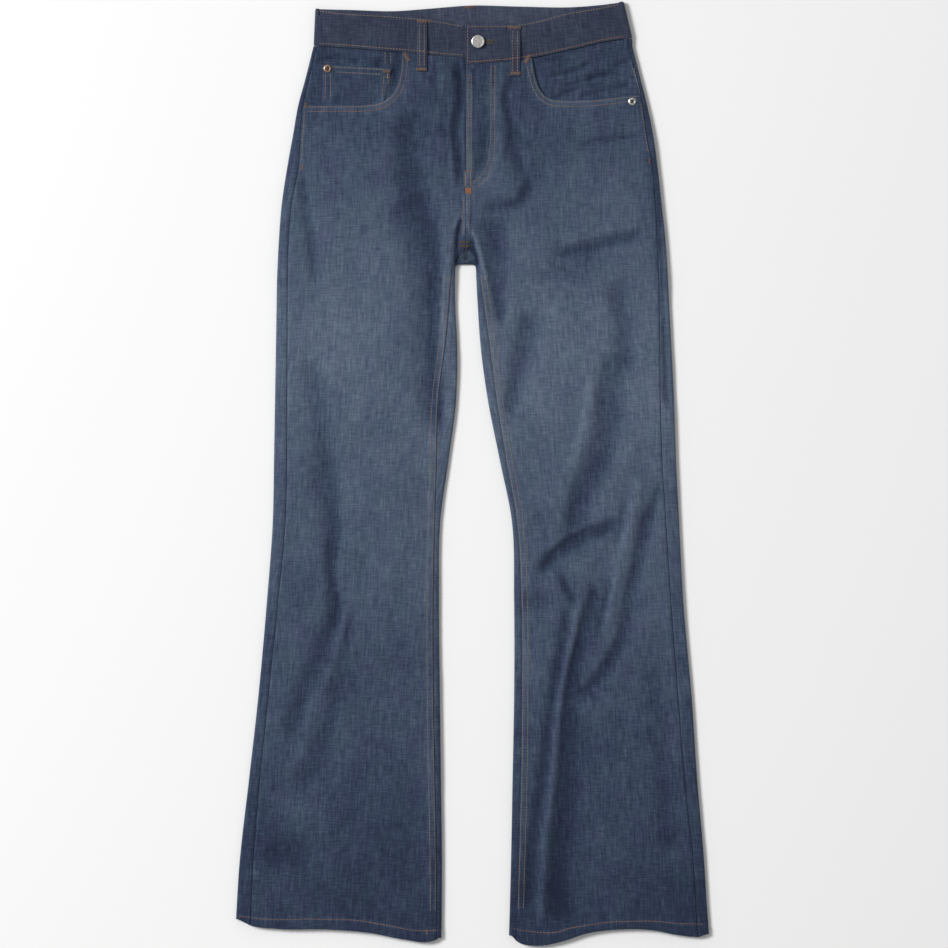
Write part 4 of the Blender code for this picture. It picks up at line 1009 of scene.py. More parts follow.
def makeBack(word):
    leg, side = legsOf[word]["leg"], legsOf[word]["side"]
    seamSide = centreX - side * back["lap"]
    rows = []
    for y in [*legRows()[legRows() < forkStart - 1], forkStart]:
        outer = outerWrap(word, y)
        edgeX, seamX = float(onLeg(leg, "inner", y)), float(onLeg(leg, "inseam", y)) - side * seamGap / 2
        edge, seam = [(x, float(bentToHem(word, x, y))) for x in (edgeX, seamX)]
        inner = innerWrap(edge, (-side, 0.0), seam)
        rows.append(np.concatenate([outer, underside(word, outer[-1], inner[0], y), inner]))
    halfGap = abs(float(onLeg(leg, "inner", forkStart)) - centreX) - seamGap / 2
    places = listed(forkTurns, 0)
    for t in np.linspace(0.0, 1.0, 15)[1:]:
        y = between(forkStart, forkY, t)
        outer = outerWrap(word, y)
        share, edgeY, turn = [float(smoothThrough(places, listed(forkTurns, item), t)) for item in (1, 2, 3)]
        edge = (seamSide + side * share * halfGap, edgeY)
        outward = (-side * math.sin(math.radians(turn)), -math.cos(math.radians(turn)))
        seamX = float(onLeg(leg, "inseam", y)) - side * seamGap / 2 if y < forkY else seamSide
        seamX = max(seamX, seamSide) if side > 0 else min(seamX, seamSide)
        inner = innerWrap(edge, outward, (seamX, y))
        rows.append(np.concatenate([outer, underside(word, outer[-1], inner[0]), inner]))
    columns = len(rows[-1])
    topY = yokeSideY - seamGap / 2
    for y in [*np.arange(splitY - back["seatStart"], topY, back["seatStep"]), topY]:
        slant = (yokeCentreY - yokeSideY) * ramp(y, splitY, yokeSideY)
        outer = outerWrap(word, y)
        rows.append(seatRow(outer, (seamSide, y + slant), columns - len(outer) + 1))
    grid = np.array(rows)
    wornAndShaded = wearAndShadeAt(grid[..., 0], grid[..., 1]) - back["darker"]
    return makeCloth("panel_back_" + word, grid, rowUv(word, grid), wornAndShaded, cloth["wall"], legDenim,
                     ["back_" + word], faceUp=side > 0, reverse=legDenim)


yoke = {
    "columns": 50,
    "depth": 70.0,
    "rim": 0.5,             # its edges are turned up into the seams
    "rimReach": 1.2,
    "flat": (0.215, 0.095),
    "area": 0.0175,
}


def makeYoke(word):
    part = legsOf[word]
    leg, side, foot = part["leg"], part["side"], part["foot"]
    endX = centreX - side * back["lap"]
    centreTop = float(onLine(bandFootBack, endX)) - seamGap
    sideTop = float(onLine(foot, onLeg(leg, "outseam", waistY))) - seamGap
    rows = []
    for t in nearEdges(20, (0.01, 0.025)):
        outer = outerWrap(word, between(yokeSideY + seamGap / 2, sideTop, t))
        row = seatRow(outer, (endX, between(yokeCentreY + seamGap / 2, centreTop, t)), yoke["columns"])
        row[len(outer):, 2] += yoke["rim"] * rims(t, yoke["depth"], yoke["rimReach"])
        rows.append(row)
    grid = np.array(rows)
    wornAndShaded = wearAndShadeAt(grid[..., 0], grid[..., 1]) - back["darker"]
    return makeCloth("yoke_cloth_" + word, grid, rowUv(word, grid), wornAndShaded, cloth["wall"], legDenim,
                     ["yoke_" + word], faceUp=side > 0)


facing = {
    # the lines of its wrinkles
    "creases": (((98, 447), (112, 454), (128, 460), (150, 463)), ((130, 449), (155, 456), (182, 462)),
                ((96, 474), (120, 480), (140, 490)), ((138, 470), (160, 478), (182, 492)),
                ((112, 462), (132, 468), (150, 474), (170, 476)), ((88, 492), (104, 494)),
                ((-126, 452), (-116, 470), (-110, 494)), ((-92, 468), (-94, 484), (-99, 497)),
                ((-170, 452), (-145, 456), (-125, 453)), ((-182, 492), (-160, 496), (-138, 492))),
    "creaseDepth": 1.6,
    "creaseReach": 2.6,
    "rise": 0.35,
    "drop": 1.5,            # how far it lies down from the side seam
    "dropEnd": 15.0,
    "swell": 0.7,
    "hummocks": 0.3,
    "seamDip": 0.9,
    "bandDip": 1.0,
    "underlap": 8.0,
    "hang": 1.7,            # how far under the front panel it runs
    "unworn": 0.04,
    "flat": (0.128, 0.088),
}


def facingCreases(x, y):
    near = [nearestOn(evenly(crease, 16), x, y, 20.0)[0] for crease in facing["creases"]]
    return sum(hump(away, facing["creaseReach"]) for away in near)


def facingHeight(word, x, y, fine=True):
    leg = legsOf[word]["leg"]
    fromSeam = np.abs(x - onLeg(leg, "outseam", y))
    away = nearestOn(scoopLine(word, 0.0), x, y, 30.0)[0]
    height = cloth["edgeHeight"] + floorHeight(y) + facing["rise"]
    height = height - facing["drop"] * ramp(fromSeam, 0.0, facing["dropEnd"])
    height = height + facing["swell"] * ramp(away, 4.0, 26.0) * ramp(fromSeam, 6.0, 30.0)
    if fine:
        height = height - facing["creaseDepth"] * facingCreases(x, y)
        height = height - facing["seamDip"] * hump(fromSeam, 1.3)
        height = height + facing["hummocks"] * softNoise(x, y, 16.0, 31) * ramp(fromSeam, 2.0, 16.0)
        height = height + 0.5 * puckers(x, y)
        height = height - facing["bandDip"] * hump(onLine(legsOf[word]["foot"], x) - y, front["bandReach"])
    return height


def makeFacing(word):
    part = legsOf[word]
    leg, side, foot = part["leg"], part["side"], part["foot"]
    across = nearEdges(44, (0.004, 0.01, 0.018))
    up = nearEdges(26, (0.008, 0.02))
    edge = scoopLine(word, -facing["underlap"])
    low = alongAt(edge[:50], across)
    startY = float(low[0, 1])
    topY = float(onLine(foot, onLeg(leg, "outseam", waistY))) - seamGap
    leftYs = startY + (topY - startY) * up
    left = np.stack([onLeg(leg, "outseam", leftYs) - side * seamGap / 2, leftYs], axis=1)
    low[0] = left[0]
    topXs = between(left[-1, 0], edge[-1, 0], across)
    top = np.stack([topXs, onLine(foot, topXs) - seamGap], axis=1)
    right = between(low[-1], top[-1], up[:, None])
    plan = blendPatch(low, top, left, right, across, up)
    x, y = plan[..., 0], plan[..., 1]
    height = facingHeight(word, x, y)
    under = topHeight(x, y, fine=False) - cloth["wall"] - facing["hang"]
    outside = ramp(leftOf(scoopLine(word, 0.0), x, y, 40.0) * side, -2.5, 1.0)
    height = between(height, np.minimum(height, under), outside)
    # painted shade in the facing's wrinkles
    wornAndShaded = wearAndShadeAt(x, y) - facing["unworn"] - fadeAndShade["creases"] * facingCreases(x, y)
    return makeCloth("pocket_inside_" + word, lifted(plan, height), grainUv(word, plan), wornAndShaded, cloth["wall"],
                     pocketDenim, ["pocket_facing_" + word], faceUp=side < 0)


fronts = [makeFront(word) for word in legsOf]
print("front panels made")
backs = [makeBack(word) for word in legsOf]
yokes = [makeYoke(word) for word in legsOf]
print("back panels and yokes made")
facings = [makeFacing(word) for word in legsOf]

# The waistband.
band = {
    "wall": 2.2,
    "height": 7.4,          # from its underside to its top, where both layers lie together
    "underlap": 34.0,
    "rows": (0.0, 0.012, 0.03, 0.055, 0.09, 0.14, 0.2, 0.28, 0.36, 0.44, 0.52, 0.6, 0.68, 0.76, 0.83, 0.89,
             0.93, 0.958, 0.98, 0.992, 1.0),
    "step": 2.6,
    "rim": 0.8,
    "rimReach": 1.1,
    "underEnd": 5.5,        # height of the right end, under the left one
    "overEnd": 2.9,         # and how much higher the left end lies
    "underFade": (-36.0, -6.0),  # where the right end goes down, from the centre
    "overFade": (-8.0, 10.0),  # and where the left end comes up, from the end of the right one
    "underFootY": 494.0,
    "underTopY": 533.0,
    "endRound": 0.7,
    "endReach": 0.9,
    "backCount": 110,
    "depth": 45.0,
    "wearAndShade": 0.5,
    "rimWear": 0.12,
    "insideWear": 0.16,
    "flat": (0.80, 0.044),
}
buttonPlace = (6.5, 513.6)


def bandHeights(x, lapped):
    level = cloth["seatHeight"] + band["height"]
    under = cloth["seatHeight"] + band["underEnd"]
    if lapped:
        return between(under + band["overEnd"], level, ramp(x - band["underlap"], *band["overFade"]))
    return between(level, under, ramp(x - centreX, *band["underFade"]))


def bandPost(foot, top, height, outward):
    shares = np.array(band["rows"])
    plan = between(np.array(foot), np.array(top), shares[:, None])
    body = -band["rim"] * rims(shares, math.dist(foot, top), band["rimReach"])
    if outward[1] > 0.5:
        body = body + puckers(plan[:, 0], plan[:, 1]) + 0.25 * softNoise(plan[:, 0], plan[:, 1], 20.0, 41)
        body = body + 0.3 * np.sin(np.pi * shares)
    else:
        body = body * 0.6
    points = lifted(plan, np.full(len(plan), height))
    points[:, 0] += body * outward[0]
    points[:, 2] += body * outward[1]
    return points


def flatPosts(feet, tops, foot, top, heights, outward):
    return [bandPost((a, float(onLine(foot, a))), (b, float(onLine(top, b))), h, outward)
            for a, b, h in zip(feet, tops, heights)]


def rolledPosts(footEdge, topEdge, side, steps=14):
    radius = band["height"] / 2
    posts = []
    for turn in np.linspace(math.pi / 2, -math.pi / 2, steps + 1):
        inset = side * radius * (math.cos(turn) - 1)
        foot, top = np.array(footEdge) + [inset, 0], np.array(topEdge) + [inset, 0]
        height = cloth["seatHeight"] + radius * (1 + math.sin(turn))
        posts.append(bandPost(foot, top, height, (side * math.cos(turn), math.sin(turn))))
    return posts


def makeWaistband():
    radius = band["height"] / 2
    leftFoot, leftTop = bandFootLeft[-1], bandTopLeft[-1]
    rightFoot, rightTop = bandFootRight[0], bandTopRight[0]
    xs = np.arange(centreX + 4, leftFoot[0] - radius - 1.5, band["step"])
    xs = np.concatenate([centreX + np.array([0.0, 0.5, 1.1, 1.9]), xs])
    stretch = (leftTop[0] - radius - centreX) / (leftFoot[0] - radius - centreX)
    heights = bandHeights(xs, True) - band["endRound"] * hump(xs - centreX, band["endReach"])
    posts = flatPosts(xs, centreX + (xs - centreX) * stretch, bandFootLeft, bandTopLeft, heights, (0.0, 1.0))
    posts += rolledPosts(leftFoot, leftTop, 1.0)
    feet = np.linspace(leftFoot[0] - radius, rightFoot[0] + radius, band["backCount"])[1:-1]
    tops = np.linspace(leftTop[0] - radius, rightTop[0] + radius, band["backCount"])[1:-1]
    heights = np.full(len(feet), cloth["seatHeight"])
    posts += flatPosts(feet, tops, bandFootBack, bandTopBack, heights, (0.0, -1.0))
    posts += rolledPosts(rightFoot, rightTop, -1.0)[::-1]
    xs = np.arange(rightFoot[0] + radius + 1.5, band["underlap"] - 10, band["step"])
    foot = (*bandFootRight, (band["underlap"], band["underFootY"]))
    top = (*bandTopRight, (band["underlap"], band["underTopY"]))
    posts += flatPosts(xs, xs, foot, top, bandHeights(xs, False), (0.0, 1.0))
    grid = np.array(posts).transpose(1, 0, 2)
    middle = grid[len(band["rows"]) // 2]
    lengths = np.concatenate([[0.0], np.cumsum(np.linalg.norm(np.diff(middle, axis=0), axis=1))])
    uv = np.stack(np.broadcast_arrays(lengths[None, :] + grainStart["waistband"], grid[..., 1]), axis=-1)
    rimWear = band["rimWear"] * rims(np.array(band["rows"]), band["depth"], 1.5)
    wornAndShaded = band["wearAndShade"] + rimWear[:, None] + 0.07 * softNoise(grid[..., 0], grid[..., 1], 22.0, 42)
    wornAndShaded = wornAndShaded + band["insideWear"] * (1 - ramp(grid[..., 2] - cloth["seatHeight"], 0.0, 2.0))
    return makeCloth("waistband_cloth", grid, uv, wornAndShaded, band["wall"], bandDenim,
                     ["waistband"], reverse=bandDenim)


waistbandCloth = makeWaistband()
print("waistband made")

# Small pieces.
coin = {
    "foot": ((-178.5, 442.5), (-105.0, 449.0)),
    "top": ((-178.0, 486.5), (-96.0, 481.8)),
    "size": (80.0, 44.0),
    "least": 436.0,         # its foot lies under the front panel
    "wall": 1.1,
    "lift": 1.4,
    "rim": 0.55,
    "rimWear": 0.12,
    "hummocks": 0.25,
    "hem": 0.3,
    "grain": (260, 90),
    "flat": (0.082, 0.044),
}


def straightSides(bottom, top, up):  # the left and right edges of a patch
    return [between(bottom[end], top[end], up[:, None]) for end in (0, -1)]


def makeCoinPocket():
    across, up = nearEdges(38, (0.006, 0.014, 0.024)), nearEdges(20, (0.012, 0.028))
    bottom, top = [between(*np.array(coin[edge]), across[:, None]) for edge in ("foot", "top")]
    bottom[:, 1] = np.maximum(coin["least"], onLine(scoopRight, bottom[:, 0]) - 3.0)
    plan = blendPatch(bottom, top, *straightSides(bottom, top, up), across, up)
    x, y = plan[..., 0], plan[..., 1]
    sides = np.minimum(across, 1 - across)[None, :] * coin["size"][0]
    upper = ((1 - up) * coin["size"][1])[:, None]
    edges = hump(sides, 1.0) + hump(upper, 1.0)
    height = facingHeight("right", x, y, fine=False) + coin["lift"] - coin["rim"] * edges + puckers(x, y)
    height = height + coin["hummocks"] * softNoise(x, y, 14.0, 51) + coin["hem"] * hump(upper - 4.5, 3.5)
    under = topHeight(x, y, fine=False) - cloth["wall"] - seamGap
    height = np.where(leftOf(scoopLine("right", 0.0), x, y, 40.0) < 1.5, np.minimum(height, under), height)
    wornAndShaded = wearAndShadeAt(x, y) - facing["unworn"] + coin["rimWear"] * edges
    return makeCloth("coin_pocket_cloth", lifted(plan, height), grainUv("right", plan) + coin["grain"], wornAndShaded,
                     coin["wall"], pocketDenim, ["coin_pocket"])


backPocket = {
    "middle": 106.0,
    "topY": 411.0,
    "topSlant": 5.0,
    "pointY": 246.0,
    "halfTop": 74.0,
    "halfFoot": 66.0,
    "drop": 22.0,
    "wall": 1.0,
    "level": 0.3,
    "rim": 0.25,
    "rimWear": 0.08,
    "rows": (1.8, 7.8),     # how far inside its edge the two rows of stitches run
    "hemRows": (2.2, 14.0),
    "rowsMiddle": (72.0, 84.0, 330.0),  # half its width and depth, and its middle's y
    "grain": (90, 60),
    "flat": (0.148, 0.17),
    "area": 0.0232,
}


def backPocketEdges(side):
    middle = centreX + side * backPocket["middle"]
    share = np.linspace(-1, 1, 41)
    topY = backPocket["topY"] + side * share * backPocket["topSlant"]
    footY = backPocket["pointY"] + backPocket["drop"] * np.abs(share)
    top = np.stack([middle + share * backPocket["halfTop"], topY], axis=1)
    foot = np.stack([middle + share * backPocket["halfFoot"], footY], axis=1)
    return foot, top


def makeBackPocket(word):
    side = legsOf[word]["side"]
    foot, top = backPocketEdges(side)
    across, up = nearEdges(41, (0.004, 0.01)), nearEdges(46, (0.004, 0.01))
    foot, top = alongAt(foot, across), alongAt(top, across)
    plan = blendPatch(foot, top, *straightSides(foot, top, up), across, up)
    width, depth = 2 * backPocket["halfTop"], backPocket["topY"] - backPocket["pointY"]
    edges = hump(np.minimum(across, 1 - across)[None, :] * width, 1.0)
    edges = edges + hump(np.minimum(up, 1 - up)[:, None] * depth, 1.0)
    height = backPocket["level"] + backPocket["rim"] * np.minimum(edges, 1.0)
    wornAndShaded = wearAndShadeAt(plan[..., 0], plan[..., 1]) + backPocket["rimWear"] * edges
    uv = grainUv(word, plan) + backPocket["grain"]
    return makeCloth("back_pocket_cloth_" + word, lifted(plan, height), uv, wornAndShaded, backPocket["wall"],
                     pocketDenim, ["back_pocket_" + word], faceUp=False)


loops = {
    "half": 6.0,
    "wall": 1.4,
    "rise": 1.7,            # how far its middle stands off the waistband
    "lift": 0.2,
    "edgeRound": 0.55,
    "groove": 0.16,         # along its two rows of stitches
    "grooveShare": 0.45,
    "endRound": 0.5,
    "sewnAt": 2.8,
    "wearAndShade": 0.52,
    "flat": (0.012, 0.068),
}
frontLoopPlaces = {  # x, the y of its ends, and from where to where it is sewn
    "right": (-60.0, 478.0, 540.0, (534.5, 482.0)),
    "left": (50.8, 472.5, 532.5, (527.5, 478.0)),
}
backLoops = {"offsets": {"right": -112.0, "left": 112.0, "centre": 4.0}, "ends": (486.0, 550.0), "wall": 0.95,
             "low": 0.25, "rim": 0.3, "rimWear": 0.15}


def loopPlan(middle, across, ys):
    return np.stack(np.broadcast_arrays(middle + across[None, :] * loops["half"], ys[:, None]), axis=-1)


def makeFrontLoop(word, middle, footY, topY):
    foot = legsOf[word]["foot"]
    bandY = float(onLine(foot, middle))
    ys = np.linspace(footY, topY, 44)
    across = np.array([-1.0, -0.94, -0.82, -0.6, -0.3, 0.0, 0.3, 0.6, 0.82, 0.94, 1.0])
    low = float(np.max(topHeight(np.linspace(middle - 8, middle + 8, 5), np.full(5, footY + 4.0))))
    high = float(np.max(bandHeights(np.array([middle - 8, middle + 8]), middle > centreX))) + 0.3
    base = between(low, high, ramp(ys, bandY - 6.0, bandY - 0.5)) + loops["lift"] + loops["wall"]
    swell = loops["rise"] * np.sin(np.pi * ramp(ys, footY + 4, topY - 2)) ** 0.8
    ends = loops["endRound"] * (hump(ys - footY, 0.8) + hump(ys - topY, 0.8))
    plan = loopPlan(middle, across, ys)
    x, y = plan[..., 0], plan[..., 1]
    edges = loops["edgeRound"] * hump((1 - np.abs(across)) * loops["half"], 0.7)
    grooves = loops["groove"] * hump((np.abs(across) - loops["grooveShare"]) * loops["half"], 0.8)
    height = (base + swell - ends)[:, None] - edges[None, :] - grooves[None, :]
    height = height + 0.1 * np.sin(y * fullTurn / 7.0 + x) + 0.08 * softNoise(x, y, 4.0, 61)
    wornAndShaded = loops["wearAndShade"] + 0.22 * edges[None, :] + 0.05 * softNoise(x, y, 6.0, 62)
    return makeCloth("loop_front_" + word, lifted(plan, height), plan + [grainStart["loop_front"], 0], wornAndShaded,
                     loops["wall"], bandDenim, ["belt_loop_front_" + word], reverse=bandDenim)


def makeBackLoop(word, middle):
    across = np.array([-1.0, -0.9, -0.6, -0.2, 0.2, 0.6, 0.9, 1.0])
    plan = loopPlan(middle, across, np.linspace(*backLoops["ends"], 30))
    edges = hump((1 - np.abs(across)) * loops["half"], 0.7) + 0 * plan[..., 1]
    wornAndShaded = band["wearAndShade"] + backLoops["rimWear"] * edges
    grid = lifted(plan, backLoops["low"] + backLoops["rim"] * edges)
    return makeCloth("loop_back_" + word, grid, plan + [grainStart["loop_back"], 0], wornAndShaded, backLoops["wall"],
                     bandDenim, ["belt_loop_back_" + word], faceUp=False, reverse=bandDenim)


coinCloth = makeCoinPocket()
backPockets = [makeBackPocket(word) for word in legsOf]
loopPieces = [makeFrontLoop(word, *place[:3]) for word, place in frontLoopPlaces.items()]
loopPieces += [makeBackLoop(word, centreX + offset) for word, offset in backLoops["offsets"].items()]
print("pockets and belt loops made")


# Stitches laid on the cloth.
def treeOf(pieces):
    points, faces = [], []
    for piece in pieces:
        start = len(points)
        points += [vertex.co.copy() for vertex in piece.data.vertices]
        faces += [[start + corner for corner in face.vertices] for face in piece.data.polygons]
    return BVHTree.FromPolygons(points, faces)


clothTree = treeOf([*fronts, *backs, *yokes, *facings, waistbandCloth, coinCloth, *backPockets, *loopPieces])


def dropped(plan, face):  # the point of the cloth over or under a place, and the way out of it
    up = 1.0 if face == "top" else -1.0
    hit = clothTree.ray_cast(Vector((plan[0] * mm, plan[1] * mm, 0.05 * up)), Vector((0, 0, -up)))
    if hit[0] is None:
        return None
    normal = hit[1] if hit[1].z * up > 0 else -hit[1]
    return np.array(hit[0]) / mm, np.array(normal)


threadRing = {  # each ring's place along the stitch, its size, and how far it is lifted, or sunk at the ends
    "sides": 6,
    "rings": ((0.0, 0.45, None), (0.2, 1.0, 0.12), (0.5, 1.08, 0.2), (0.8, 1.0, 0.12), (1.0, 0.45, None)),
}


def threadRings(start, middle, end, normal, halfWidth, halfHeight, sink):
    along = end - start
    along = along / np.linalg.norm(along)
    across = np.cross(normal, along)
    across /= np.linalg.norm(across)
    out = np.cross(along, across)
    turns = np.arange(threadRing["sides"]) * fullTurn / threadRing["sides"]
    ring = np.cos(turns)[:, None] * across * halfWidth + np.sin(turns)[:, None] * out * halfHeight
    arch = max(0.0, float((middle - (start + end) / 2) @ out))
    rings = []
    for share, size, lift in threadRing["rings"]:
        lift = -sink if lift is None else lift
        centre = between(start, end, share) + out * (lift + arch * math.sin(math.pi * share))
        rings.append(centre + size * ring)
    return np.array(rings)


def threadFaces(rings, sides, first):
    faces = []
    for ring in range(rings - 1):
        for turn in range(sides):
            a, b = first + ring * sides + turn, first + ring * sides + (turn + 1) % sides
            faces.append((a, b, b + sides, a + sides))
    faces.append(tuple(first + turn for turn in range(sides))[::-1])
    faces.append(tuple(first + (rings - 1) * sides + turn for turn in range(sides)))
    return faces


threadParts = {name: {"points": [], "faces": [], "count": 0} for name in threads}
aboveFloor = 0.02


def layThread(thread, start, end, face, halfWidth, halfHeight, sink, raised=0.0):
    ends = [dropped(place, face) for place in (start, (np.array(start) + np.array(end)) / 2, end)]
    if None in ends:
        return
    low, middle, high = [end[0] for end in ends]
    out = ends[1][1]
    if np.linalg.norm(high - low) > 2.2 * math.dist(start, end) + 1.0:
        return
    lift = out * raised
    rings = threadRings(low + lift, middle + lift, high + lift, out, halfWidth, halfHeight, sink)
    if face == "under":
        rings[..., 2] = np.maximum(rings[..., 2], aboveFloor)
    part = threadParts[thread]
    part["faces"] += threadFaces(rings.shape[0], rings.shape[1], part["count"])
    part["points"].append(rings.reshape(-1, 3))
    part["count"] += rings.shape[0] * rings.shape[1]


def sewLine(thread, face, line):
    lengths = lengthsAlong(line)
    starts = np.arange(1.0, lengths[-1] - sewing["stitch"], sewing["pitch"])
    for start in starts:
        ends = [np.array([np.interp(place, lengths, line[:, axis]) for axis in (0, 1)])
                for place in (start, start + sewing["stitch"])]
        layThread(thread, ends[0], ends[1], face, sewing["halfWidth"], sewing["halfHeight"], sewing["sink"])


for thread, face, line in stitchLines:
    sewLine(thread, face, line)
for side in (-1.0, 1.0):  # the back pockets' plain double rows
    foot, top = backPocketEdges(side)
    halfWidth, halfDepth, middleY = backPocket["rowsMiddle"]
    middle = np.array([centreX + side * backPocket["middle"], middleY])
    outline = np.concatenate([top[:1], foot[[0, 20, 40]], top[-1:]])
    for inset in backPocket["rows"]:
        sewLine("tan", "under", middle + (outline - middle) * [1 - inset / halfWidth, 1 - inset / halfDepth])
    for inset in backPocket["hemRows"]:
        sewLine("tan", "under", top[[1, -2]] - [0, inset])
for middle, *_, sewn in frontLoopPlaces.values():
    for offset in (-loops["sewnAt"], loops["sewnAt"]):
        sewLine("tan", "top", np.array([(middle + offset, y) for y in sewn]))
ringPoints = threadRing["sides"] * len(threadRing["rings"])
print("stitches:", sum(part["count"] for part in threadParts.values()) // ringPoints)

# Bars: where each one is, its length and width, the way it runs in degrees, and its thread.
bars = (
    (-57.9, 538.0, 15.0, 4.2, 0, "clay", "top"),
    (-60.6, 480.8, 12.0, 4.0, 0, "clay", "top"),
    (49.6, 530.6, 15.0, 4.0, 0, "clay", "top"),
    (51.6, 476.0, 13.0, 4.2, 0, "clay", "top"),
    (-78.4, 495.8, 11.5, 5.6, -58, "clay", "top"),
    (-198.2, 437.6, 6.5, 3.4, 80, "clay", "top"),
    (65.6, 493.0, 10.5, 5.8, 62, "clay", "top"),
    (-102.3, 478.2, 8.5, 3.6, 0, "clay", "top"),
    (-100.6, 472.5, 5.5, 2.4, 80, "tan", "top"),
    (-5.1, 336.4, 7.4, 8.4, 0, "bright", "top"),
    (-5.2, 360.0, 7.8, 1.8, 0, "tan", "top"),
    (-8.6, 350.0, 17.0, 1.5, 90, "tan", "top"),
    (-1.7, 350.0, 17.0, 1.5, 90, "tan", "top"),
    (-9.6, 275.2, 13.0, 3.6, 0, "olive", "top"),
    (-9.2, 270.6, 12.0, 3.2, 0, "olive", "top"),
    (-201.6, 364.4, 6.0, 2.6, 84, "clay", "top"),
    (210.6, 371.5, 6.0, 2.6, 84, "clay", "top"),
    (-54.2, -545.0, 6.0, 2.4, 90, "clay", "top"),
    (-3.9, 555.2, 12.0, 3.4, 0, "clay", "top"),
    *((centreX + offset, y, 13.0, 3.2, 0, "clay", "under")
      for y in (547.5, 488.5) for offset in backLoops["offsets"].values()),
)
barThread = {"pitch": 0.62, "skew": 0.28, "halfWidth": 0.36, "halfHeight": 0.42, "sink": 0.3, "raised": 0.1}


def sewBar(x, y, length, width, turn, thread, face):
    along = np.array([math.cos(math.radians(turn)), math.sin(math.radians(turn))])
    across = np.array([-along[1], along[0]])
    count = int(length / barThread["pitch"])
    for index in range(count):
        place = np.array([x, y]) + along * length * ((index + 0.5) / count - 0.5)
        reach = across * width / 2 + along * barThread["skew"] * (1 if index % 2 else -1)
        layThread(thread, place - reach, place + reach, face, barThread["halfWidth"], barThread["halfHeight"],
                  barThread["sink"], raised=barThread["raised"])


for bar in bars:
    sewBar(*bar)
buttonhole = {"fromButton": 8.7, "stitches": 17, "pitch": 0.64, "slit": 0.35, "half": 2.7, "endHalf": 1.6,
              "narrowFrom": 15}
for index in range(buttonhole["stitches"]):  # the buttonhole's purl, beside the button
    x = buttonPlace[0] + buttonhole["fromButton"] + index * buttonhole["pitch"]
    reach = buttonhole["half"] if index < buttonhole["narrowFrom"] else buttonhole["endHalf"]
    for side in (-1, 1):
        ends = [(x, buttonPlace[1] + side * away) for away in (buttonhole["slit"], reach)]
        layThread("olive", *ends, "top", barThread["halfWidth"], 0.45, 0.25, raised=0.12)


def makeThreads(name, part):
    mesh = bpy.data.meshes.new("thread_" + name)
    mesh.from_pydata(np.concatenate(part["points"]) * mm, [], part["faces"])
    mesh.materials.append(threads[name])
    mesh.shade_smooth()
    piece = bpy.data.objects.new("thread_" + name, mesh)
    bpy.context.scene.collection.objects.link(piece)
    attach(piece, "root")


for name, part in threadParts.items():
    makeThreads(name, part)
print("sewing laid")


# Button and rivets.
def startPiece(name):
    bpy.ops.object.select_all(action="DESELECT")
    piece = bpy.context.active_object
    piece.name = name
    piece.data.name = name
    return piece


def editFaces(piece, wanted):  # goes into edit mode with only the wanted faces selected
    bpy.ops.object.mode_set(mode="OBJECT")
    for vertex in piece.data.vertices:
        vertex.select = False
    for edge in piece.data.edges:
        edge.select = False
    for face in piece.data.polygons:
        face.select = bool(wanted(face))
    bpy.ops.object.mode_set(mode="EDIT")
    bpy.ops.mesh.select_mode(type="FACE")


def settle(piece, material, replaced, bevel, segments=2):
    bpy.ops.object.mode_set(mode="OBJECT")
    rounding = piece.modifiers.new("rounding", "BEVEL")
    rounding.width = bevel * mm
    rounding.segments = segments
    rounding.limit_method = "ANGLE"
    rounding.angle_limit = math.radians(28)
    bpy.context.view_layer.objects.active = piece
    piece.select_set(True)
    bpy.ops.object.modifier_apply(modifier="rounding")
    bpy.ops.object.transform_apply(location=True, rotation=True, scale=True)
    bpy.ops.object.shade_smooth_by_angle(angle=math.radians(50))
    piece.select_set(False)
    piece.data.materials.append(material)
    finishPiece(piece, replaced)


button = {
    "radius": 7.7,
    "thick": 1.9,
    "shank": 3.4,
    "shankHeight": 1.6,
    "sunk": 0.3,            # how far the shank goes into the cloth
    "rings": ((0.9, 0.45), (1.5, -0.35), (1.3, 0.18), (1.9, -0.12)),  # each ring's inset and rise
}


def facesUp(face):
    return face.normal.z > 0.9


def fromPlace(face, place):
    return (face.center.xy - Vector((place[0] * mm, place[1] * mm))).length


def roundCap(name, place, radius, thick, low, vertices, rings):  # a disc with rings in its upper face
    bpy.ops.mesh.primitive_cylinder_add(vertices=vertices, radius=radius * mm, depth=thick * mm,
                                        end_fill_type="NGON",
                                        location=(place[0] * mm, place[1] * mm, (low + thick / 2) * mm))
    piece = startPiece(name)
    piece.select_set(True)
    bpy.ops.object.transform_apply(location=True, rotation=True, scale=True)
    for inset, depth in rings:
        editFaces(piece, lambda face: facesUp(face) and fromPlace(face, place) < 0.01 * mm)
        bpy.ops.mesh.inset(thickness=inset * mm, depth=depth * mm)
        bpy.ops.object.mode_set(mode="OBJECT")
    return piece


def extrudeUp(height):
    bpy.ops.mesh.extrude_region_move(TRANSFORM_OT_translate={"value": (0, 0, height * mm)})


def makeButton():
    low = dropped(buttonPlace, "top")[0][2] + button["shankHeight"]
    piece = roundCap("button_cap", buttonPlace, button["radius"], button["thick"], low, 56, button["rings"])
    editFaces(piece, lambda face: face.normal.z < -0.9)
    bpy.ops.mesh.inset(thickness=(button["radius"] - button["shank"]) * mm, depth=0)
    extrudeUp(-(button["shankHeight"] + button["sunk"]))
    settle(piece, nickel, ["waist_button"], 0.28, 3)


rivet = {
    "thick": 1.2,
    "sunk": 0.1,
    "nub": 0.35,
    "dimple": 0.46,         # share of its radius that is painted dark as shade
    "rings": ((0.22, 0.55), (0.2, 0.12), (0.16, -0.9), (0.12, 0.0)),  # inset, a share of the radius, and rise
}
rivets = (  # each one's name, place, radius, material, slot and the node that it stands for
    ("rivet_coin_pocket", -172.4, 481.6, 4.9, copper, "copper", "coin_pocket_rivet"),
    ("rivet_pocket", 189.8, 442.6, 4.5, nickel, "nickel", "pocket_rivet"),
)


